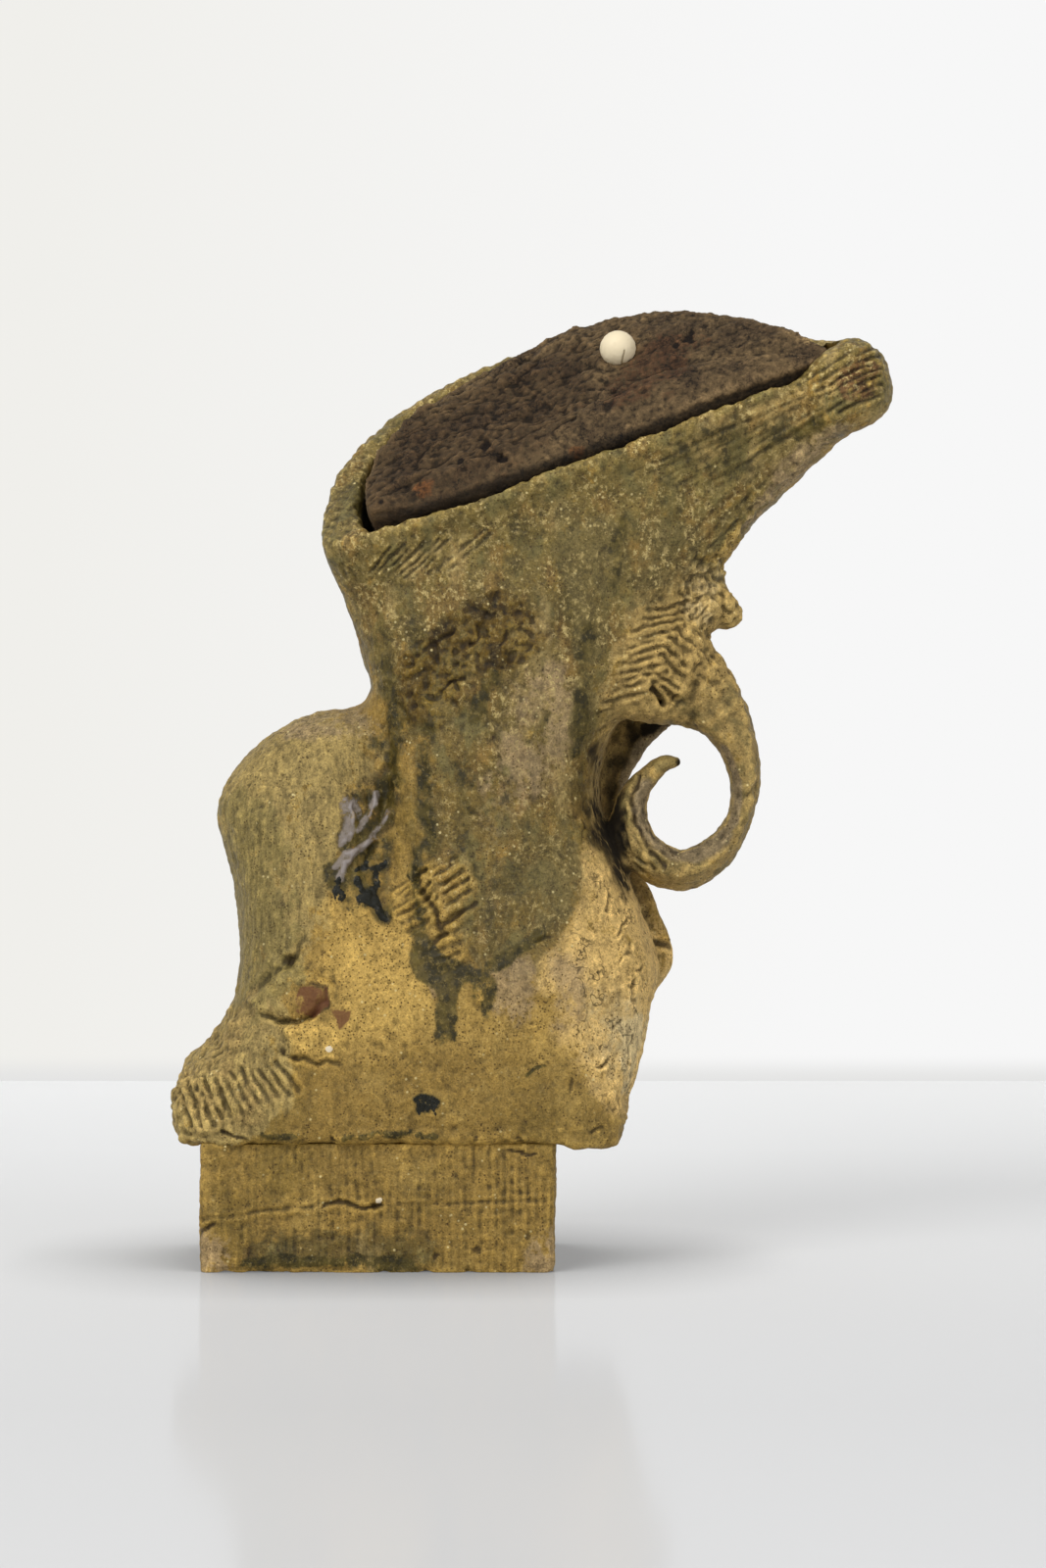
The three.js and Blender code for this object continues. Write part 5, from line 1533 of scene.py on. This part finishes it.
def work_foot(clay):
    """Slabs rolled out on cloth: upright ribs that sway, lumps and worn edges."""
    clay.wipe(3, 0.0, 0.5, 0.515)
    x, y, z = clay.drawn.T
    normals = clay.normals()
    along = np.where(np.abs(normals[:, 1]) > np.abs(normals[:, 0]), x, y)
    upright = 1 - ease(0.5, 0.85, np.abs(normals[:, 2]))
    sway = 1.5 * uneven(clay.co, [13, 13, 34], 31, 2)
    strength = 0.14 + 0.2 * uneven(clay.co, [16, 16, 22], 32, 2)
    clay.height += upright * strength * np.sin((along + sway) * 2 * math.pi / 3.4)
    clay.height += 0.5 * uneven(clay.co, 22, 33, 2) + 0.28 * uneven(clay.co, [3, 3, 9], 34, 2)
    clay.height += upright * 0.2 * uneven(clay.co, [9, 9, 2.2], 37, 2)
    clay.height += 0.25 * uneven(clay.co, 2.6, 35, 2)
    # Worn lower edge and corners
    clay.height -= 1.2 * (1 - ease(0, 4, z)) * ease(-0.2, 0.6, uneven(clay.co, 9, 36, 2))
    # The slab's joint: a faint crack that opens in the middle, and dark glaze along the ground
    front = Sheet(clay)
    joint_left = [(206, 1246), (260, 1237), (330, 1229)]
    joint_middle = [(330, 1230), (352, 1228), (372, 1232), (388, 1230)]
    joint_right = [(388, 1230), (430, 1228), (500, 1226), (568, 1223)]
    joint_pit = (381, 1231)
    joint_flake = (386, 1225)
    edge_cut = [(204, 1259), (210, 1254), (218, 1249)]
    front.line(joint_left, 2.4, 0.5, 0.9)
    front.line(joint_middle, 2.4, 1.2, 0.6, "groove", ragged=3)
    front.line(joint_right, 2.2, 0.4, 0.8)
    front.spot(joint_pit, 5, 1.6, "groove")
    front.spot(joint_flake, 4, -0.6, "chip")
    front.line(edge_cut, 2.2, 1.1, 0.4, "groove")
    ground_glaze = [(243, 1284), (300, 1281), (420, 1283), (424, 1294), (240, 1295)]
    low_stain = [(250, 1262), (430, 1256), (450, 1292), (240, 1292)]
    pink_corner = [(198, 1255), (240, 1268), (238, 1300), (198, 1300)]
    bare_corner = [(540, 1262), (572, 1250), (572, 1300), (530, 1300)]
    front.paint("green", ground_glaze, 10)
    front.paint("deep", low_stain, 30)
    front.paint("pink", pink_corner, 20)
    front.paint("pink", bare_corner, 20)
    pits = [(446, 1282), (486, 1276), (533, 1176)]
    for place in pits:
        front.spot(place, 3.5, 0.6, "groove", 0.9)
    torn_seam = [(520, 1176), (533, 1178), (548, 1176)]
    front.line(torn_seam, 2, 1.0, 0.3, "groove", ragged=3)
    clay.settle()
    clay.co[:, 2] = np.clip(clay.co[:, 2], 0, 56.2)


def make_foot_side(obj, side, *coils):
    """One slab of the foot, with the coils that were pressed in along its ends."""
    make(obj, f"{side}_foot", f"foot_{side}_slab", *coils, slot="foot_stoneware")


FOOT_SLAB = 39.85  # from the foot's middle to the inner faces of its front and back slabs
foot_nodes = [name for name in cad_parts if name.startswith("foot_")]
foot = skinned(luted("foot", foot_nodes), FOOT_GRID)
work_foot(foot)
finish_relief(foot)
front, rest = cut(shown(foot.mesh("foot")), half_space((0, -FOOT_SLAB, 0), FRONT))
back, rest = cut(rest, half_space((0, FOOT_SLAB, 0), Y))
left, right = cut(rest, half_space((0, 0, 0), LEFT))
make_foot_side(front, "front")
make_foot_side(back, "back")
make_foot_side(left, "left", "foot_front_left_coil", "foot_back_left_coil")
make_foot_side(right, "right", "foot_front_right_coil", "foot_back_right_coil")

ledge_nodes = ["lid_ledge_front_coil", "lid_ledge_back_coil"]
ledge = skinned(luted("ledge", ledge_nodes, 0.0), LEDGE_GRID)
ledge.height += 0.15 * uneven(ledge.co, 5, 51, 2)
finish_relief(ledge)
make_halves(shown(ledge.mesh("ledge")), ("front_ledge", ledge_nodes[0]), ("back_ledge", ledge_nodes[1]))


def work_lid(clay):
    """A slab torn on its top, smoother to the right, and rolled over along its near edge."""
    clay.wipe(4, 0.0, 0.5, 0.515)
    place = clay.drawn - MOUTH
    along, across = place @ ALONG, place @ ACROSS
    near_edge = 1 - ease(2, 9, across)
    clay.wipe(14, 1 - near_edge)
    top = ease(0.25, 0.7, clay.normals() @ OUT)
    band = 1 - ease(5, 11, across + 2 * uneven(clay.co, 12, 61, 2))
    # The near edge was rolled over
    thick = place @ OUT
    clay.co -= np.outer(3.2 * (1 - ease(0, 12, across)) * ease(thick.min(), thick.max(), thick), OUT)
    rough = top * (1 - 0.8 * band) * (1 - 0.65 * ease(115, 150, along))
    turned = np.stack([along, across, thick], 1)
    clay.height += top * (1.1 * uneven(clay.co, 28, 60, 2) + 2.0 * ease(125, 180, along))
    clay.height += rough * (1.5 * uneven(turned, [18, 9, 9], 62, 3) + 1.1 * uneven(clay.co, 5.2, 63, 3))
    folds = 1 - np.abs(uneven(turned, [30, 12, 12], 71, 3)) / 0.35
    clay.height -= rough * 1.5 * np.clip(folds, 0, 1) ** 3
    pits = (1 - ease(0.1, 0.34, pitted(clay.co, 6.5, 64))) * ease(0.1, 0.5, uneven(clay.co, 18, 65, 2))
    clay.height -= rough * 1.8 * pits
    # Painted shade in the deep pits
    clay.paint("pit_shade", 0.8 * rough * pits)
    clay.height += rough * 0.4 * (1 - ease(0.2, 0.6, pitted(clay.co, 3.2, 66)))
    clay.height -= (1 - top) * 0.25 * np.abs(uneven(clay.co, 4, 67, 2))
    clay.height += top * (0.36 * uneven(clay.co, 2.4, 68, 2) + 0.2 * uneven(clay.co, 1.6, 70))
    # Long streaks where the slab was dragged, on its smoother right part
    clay.height += top * ease(110, 150, along) * 0.35 * uneven(turned, [22, 2.6, 8], 69, 2)
    # Painted shade on the sides along the near edge, darker the lower they lie
    sunk = ease(0, 5.5, thick.max() - thick)
    clay.paint("under", (1 - top) * near_edge * (0.25 + 0.75 * sunk))


def mark_lid(clay):
    """Pits, finger prints, a scratch and the stains on the lid."""
    front = Sheet(clay)
    pits = [
        ((494, 454), 7, 3.0),
        ((511, 466), 5, 2.4),
        ((703, 345), 6, 1.8),
        ((690, 355), 4, 1.2),
        ((470, 470), 4, 1.2),
    ]
    scratch = [(525, 387), (548, 401), (571, 415)]
    scratch_edge = [(520, 395), (543, 409), (564, 424)]
    prints = [((508, 421), 9), ((524, 417), 8), ((541, 424), 8), ((556, 414), 7)]
    # Painted shade in the pits
    for place, radius, depth in pits:
        front.spot(place, radius, depth, "pit_shade", 0.5)
    front.line(scratch, 1.8, -0.8, 0.4)
    front.line(scratch_edge, 2.4, 0.6, 0.2)
    for place, radius in prints:
        front.spot(place, radius, 1.0, ragged=0.4)
    reddish = [(640, 372), (668, 344), (712, 338), (716, 356), (690, 392), (640, 410), (600, 412)]
    rust_left = [(420, 496), (430, 486), (442, 492), (440, 506), (426, 508)]
    rust_right = [(580, 458), (596, 454), (602, 462), (588, 468)]
    ashy_end = [(800, 334), (840, 338), (866, 348), (868, 360), (836, 352), (806, 344)]
    burnt_left = [
        (368, 500), (410, 430), (520, 370), (590, 350), (600, 400), (540, 470), (430, 540),
        (376, 560),
    ]
    front.paint("burnt", burnt_left, 60)
    front.paint("red", reddish, 34, 0.9)
    front.paint("rust", rust_left, 14)
    front.paint("rust", rust_right, 12, 0.9)
    front.paint("ash", ashy_end, 20)


lid = skinned(luted("lid", ["lid_slab"], 0.0), LID_GRID)
work_lid(lid)
mark_lid(lid)
finish_relief(lid)


def dark_clay():
    """Dark, crumbly clay with no glaze, cracked, stained, and with painted shade and light in its
    relief.
    """
    finish = Finish("dark_crumbly_clay", linear(92, 74, 49), 0.8)
    fine = finish.noise(420, 3, (1, 1, 1), 0.7, 3.9)
    slow = finish.noise(40, 4, (1, 1, 1), 0.6, 1.9)
    finish.broken = finish.math("SUBTRACT", fine, 0.5)
    finish.coat(linear(62, 48, 32), finish.band(slow, 0.42, 0.62, 0.8))
    finish.coats(
        ("burnt", (54, 38, 22), (5, 0.2, 0.9, 0.6), None),
        ("red", (66, 41, 24), (5, 0.2, 0.9, 0.7), None),
        ("rust", (106, 64, 30), (3, 0.2, 0.9, 0.6), None),
        ("ash", (150, 126, 80), (5, 0.2, 0.8, 0.8), None),
    )
    coarse = finish.noise(150, 3, (1, 1, 1), 0.7, 7.9)
    finish.shades(
        (0.62, coarse, 0.47, 0.36, 0.9),
        (1.35, coarse, 0.53, 0.64, 0.8),
        (1.6, fine, 0.52, 0.64, 0.8),
        (0.4, fine, 0.47, 0.36, 0.9),
    )
    cracks = finish.threads(finish.noise(95, 4, (1, 1, 1), 0.65, 12.9), 0.02, 0.005)
    finish.shade(0.3, finish.math("MULTIPLY", cracks, finish.band(slow, 0.47, 0.55, 0.9)))
    # Painted shade in the dents and painted light on the crests, then painted shade on the near side
    # and in the pits
    dents, crests = finish.mark("dent"), finish.mark("crest")
    finish.shades((0.34, dents, 0.02, 0.7, 0.95), (1.6, crests, 0.2, 0.9, 0.7))
    finish.shade(0.3, finish.mark("under"))
    finish.coat(linear(24, 16, 10), finish.band(finish.mark("pit_shade"), 0.3, 0.8, 0.9))
    return finish.fire(finish.math("MULTIPLY_ADD", coarse, 0.8, fine), 1.0, 0.0014)


def white_clay():
    """Pale clay with a few darker clouds and one hairline."""
    finish = Finish("white_clay", linear(230, 214, 180), 0.5)
    fine = finish.noise(700, 2, (1, 1, 1), 0.6, 2.4)
    clouds = finish.noise(120, 3, (1, 1, 1), 0.6, 8.4)
    finish.coat(linear(206, 188, 150), finish.band(clouds, 0.55, 0.75, 0.5))
    finish.coat(linear(120, 100, 66), finish.band(finish.mark("hair"), 0.2, 0.9, 0.8))
    return finish.fire(fine, 0.1)


piece(shown(lid.mesh("lid")), "dark_lid", "lid", ["lid_slab"], dark_clay())
ball = skinned(luted("ball", ["knob_ball"], 0.0), BALL_GRID)
ball.wipe(12, 0.0, 0.5, 0.51)
ball.height += 0.1 * uneven(ball.co, 6, 81, 2)
ball_front = Sheet(ball)
hairline = [(634, 371), (636, 365), (637, 358)]
ball_front.line(hairline, 1.3, 0.1, 0, "hair")
ball.settle()
piece(shown(ball.mesh("ball")), "knob", "lid", ["knob_ball"], white_clay())
report("foot, ledges, lid and ball")


# Stage


def plane(name, corners, material):
    mesh = bpy.data.meshes.new(name)
    mesh.from_pydata(corners, [], [(0, 1, 2, 3)])
    mesh.materials.append(material)
    shown(mesh)


def stage_material(name):
    """A new material for the stage: (material, its nodes, where a point lies along X, Y and Z)."""
    material = bpy.data.materials.new(name)
    paint = Nodes(material)
    apart = paint.node("ShaderNodeSeparateXYZ")
    paint.plug(paint.node("ShaderNodeTexCoord").outputs["Object"], apart.inputs[0])
    return material, paint, apart.outputs


def wall_paint():
    """A white wall, warmer and greyer to the left, that glows only for the camera and in a gloss."""
    material, paint, place = stage_material("white_wall")
    rays = paint.node("ShaderNodeLightPath").outputs
    seen = rays["Is Camera Ray"]
    for kind in ("Is Glossy Ray", "Is Transmission Ray"):
        seen = paint.math("ADD", seen, rays[kind], clamp=True)
    to_right = paint.ranged(place["X"], -0.35, 0.2)
    tint = paint.blend(to_right, (*linear(240, 239, 235), 1), (*linear(247, 247, 247), 1))
    # Painted shade: the foot of the wall, in its corner with the floor, is a little greyer
    upwards = paint.ranged(place["Z"], 0.0, 0.02, kind="SMOOTHSTEP")
    colour = paint.blend(upwards, (*linear(229, 229, 228), 1), tint)
    plain = paint.tree.nodes["Principled BSDF"].outputs[0]
    wall = paint.between(seen, plain, paint.coloured("ShaderNodeEmission", colour))
    # From behind, the wall isn't there
    behind = paint.node("ShaderNodeNewGeometry").outputs["Backfacing"]
    clear = paint.node("ShaderNodeBsdfTransparent").outputs[0]
    paint.surface(paint.between(behind, wall, clear))
    return material


def floor_paint(near, far):
    """A pale floor, lighter towards the wall, darker close to what stands on it, with a faint gloss."""
    material, paint, place = stage_material("glossy_floor")
    sky = paint.node("ShaderNodeAmbientOcclusion")
    sky.inputs["Distance"].default_value = 0.1
    darkness = paint.ranged(sky.outputs["AO"], 0.45, 1.0, 0.45, 1.0)
    # The corner at the wall stays light
    by_wall = paint.ranged(place["Y"], 0.4, 0.7)
    brightness = paint.math("MAXIMUM", darkness, by_wall)
    # Painted shade and light: darker in front, lighter towards the wall
    colour = paint.blend(paint.ranged(place["Y"], -0.4, 0.9), (*near, 1), (*far, 1))
    shaded = paint.node("ShaderNodeVectorMath", operation="SCALE")
    paint.plug(colour, shaded.inputs[0])
    paint.plug(brightness, shaded.inputs["Scale"])
    dull = paint.coloured("ShaderNodeBsdfDiffuse", shaded.outputs[0])
    shine = paint.node("ShaderNodeBsdfGlossy")
    shine.inputs["Roughness"].default_value = 0.12
    # It shines in front of what stands on it, and is dull beyond
    gloss = paint.ranged(place["Y"], 0.05, 0.5, 0.26, 0.03)
    floor = paint.between(gloss, dull, shine.outputs[0])
    # For the camera some of its light is even, which keeps the shadow soft and pale
    camera_rays = paint.node("ShaderNodeLightPath").outputs["Is Camera Ray"]
    even = paint.coloured("ShaderNodeEmission", shaded.outputs[0])
    paint.surface(paint.between(paint.math("MULTIPLY", camera_rays, 0.45), floor, even))
    return material


WALL_Y = 0.988
STAGE = 6.0  # half the width of the floor and the wall
floor_corners = [(-STAGE, -STAGE, 0), (STAGE, -STAGE, 0), (STAGE, WALL_Y, 0), (-STAGE, WALL_Y, 0)]
wall_corners = [
    (-STAGE, WALL_Y, 0),
    (STAGE, WALL_Y, 0),
    (STAGE, WALL_Y, STAGE),
    (-STAGE, WALL_Y, STAGE),
]
plane("floor", floor_corners, floor_paint(linear(217, 217, 217), linear(250, 250, 249)))
plane("wall", wall_corners, wall_paint())


def camera():
    """The camera stands at the eye and looks level along Y, as the photograph does."""
    data = bpy.data.cameras.new("camera")
    data.lens = 85
    data.sensor_width = 36
    obj = bpy.data.objects.new("camera", data)
    bpy.context.scene.collection.objects.link(obj)
    obj.location = EYE * MM
    obj.rotation_euler = (math.radians(90), 0, 0)
    bpy.context.scene.camera = obj


def lamp(name, place, target, size, power):
    """A square area lamp that points at a target."""
    data = bpy.data.lights.new(name, "AREA")
    data.shape = "RECTANGLE"
    data.size = data.size_y = size
    data.energy = power
    obj = bpy.data.objects.new(name, data)
    bpy.context.scene.collection.objects.link(obj)
    obj.location = place
    obj.rotation_euler = (Vector(target) - Vector(place)).to_track_quat("-Z", "Y").to_euler()


def room_light(strength):
    """Even light from all round, which the camera sees as pale as the floor and the wall."""
    world = bpy.data.worlds.new("room")
    bpy.context.scene.world = world
    room = Nodes(world)
    light = room.tree.nodes["Background"]
    light.inputs["Color"].default_value = (0.95, 0.97, 1.0, 1)
    light.inputs["Strength"].default_value = strength
    camera_rays = room.node("ShaderNodeLightPath").outputs["Is Camera Ray"]
    pale = room.coloured("ShaderNodeBackground", (*linear(244, 244, 243), 1))
    room.surface(room.between(camera_rays, light.outputs[0], pale), "World Output")


camera()
lamp("window", place=(-0.95, -1.35, 1.65), target=(0, 0, 0.22), size=1.1, power=33)
lamp("fill", place=(1.3, -1.1, 0.8), target=(0.05, 0, 0.15), size=0.9, power=8)
room_light(strength=0.47)

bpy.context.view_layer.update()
bpy.context.scene.view_settings.view_transform = "Standard"
report("done")
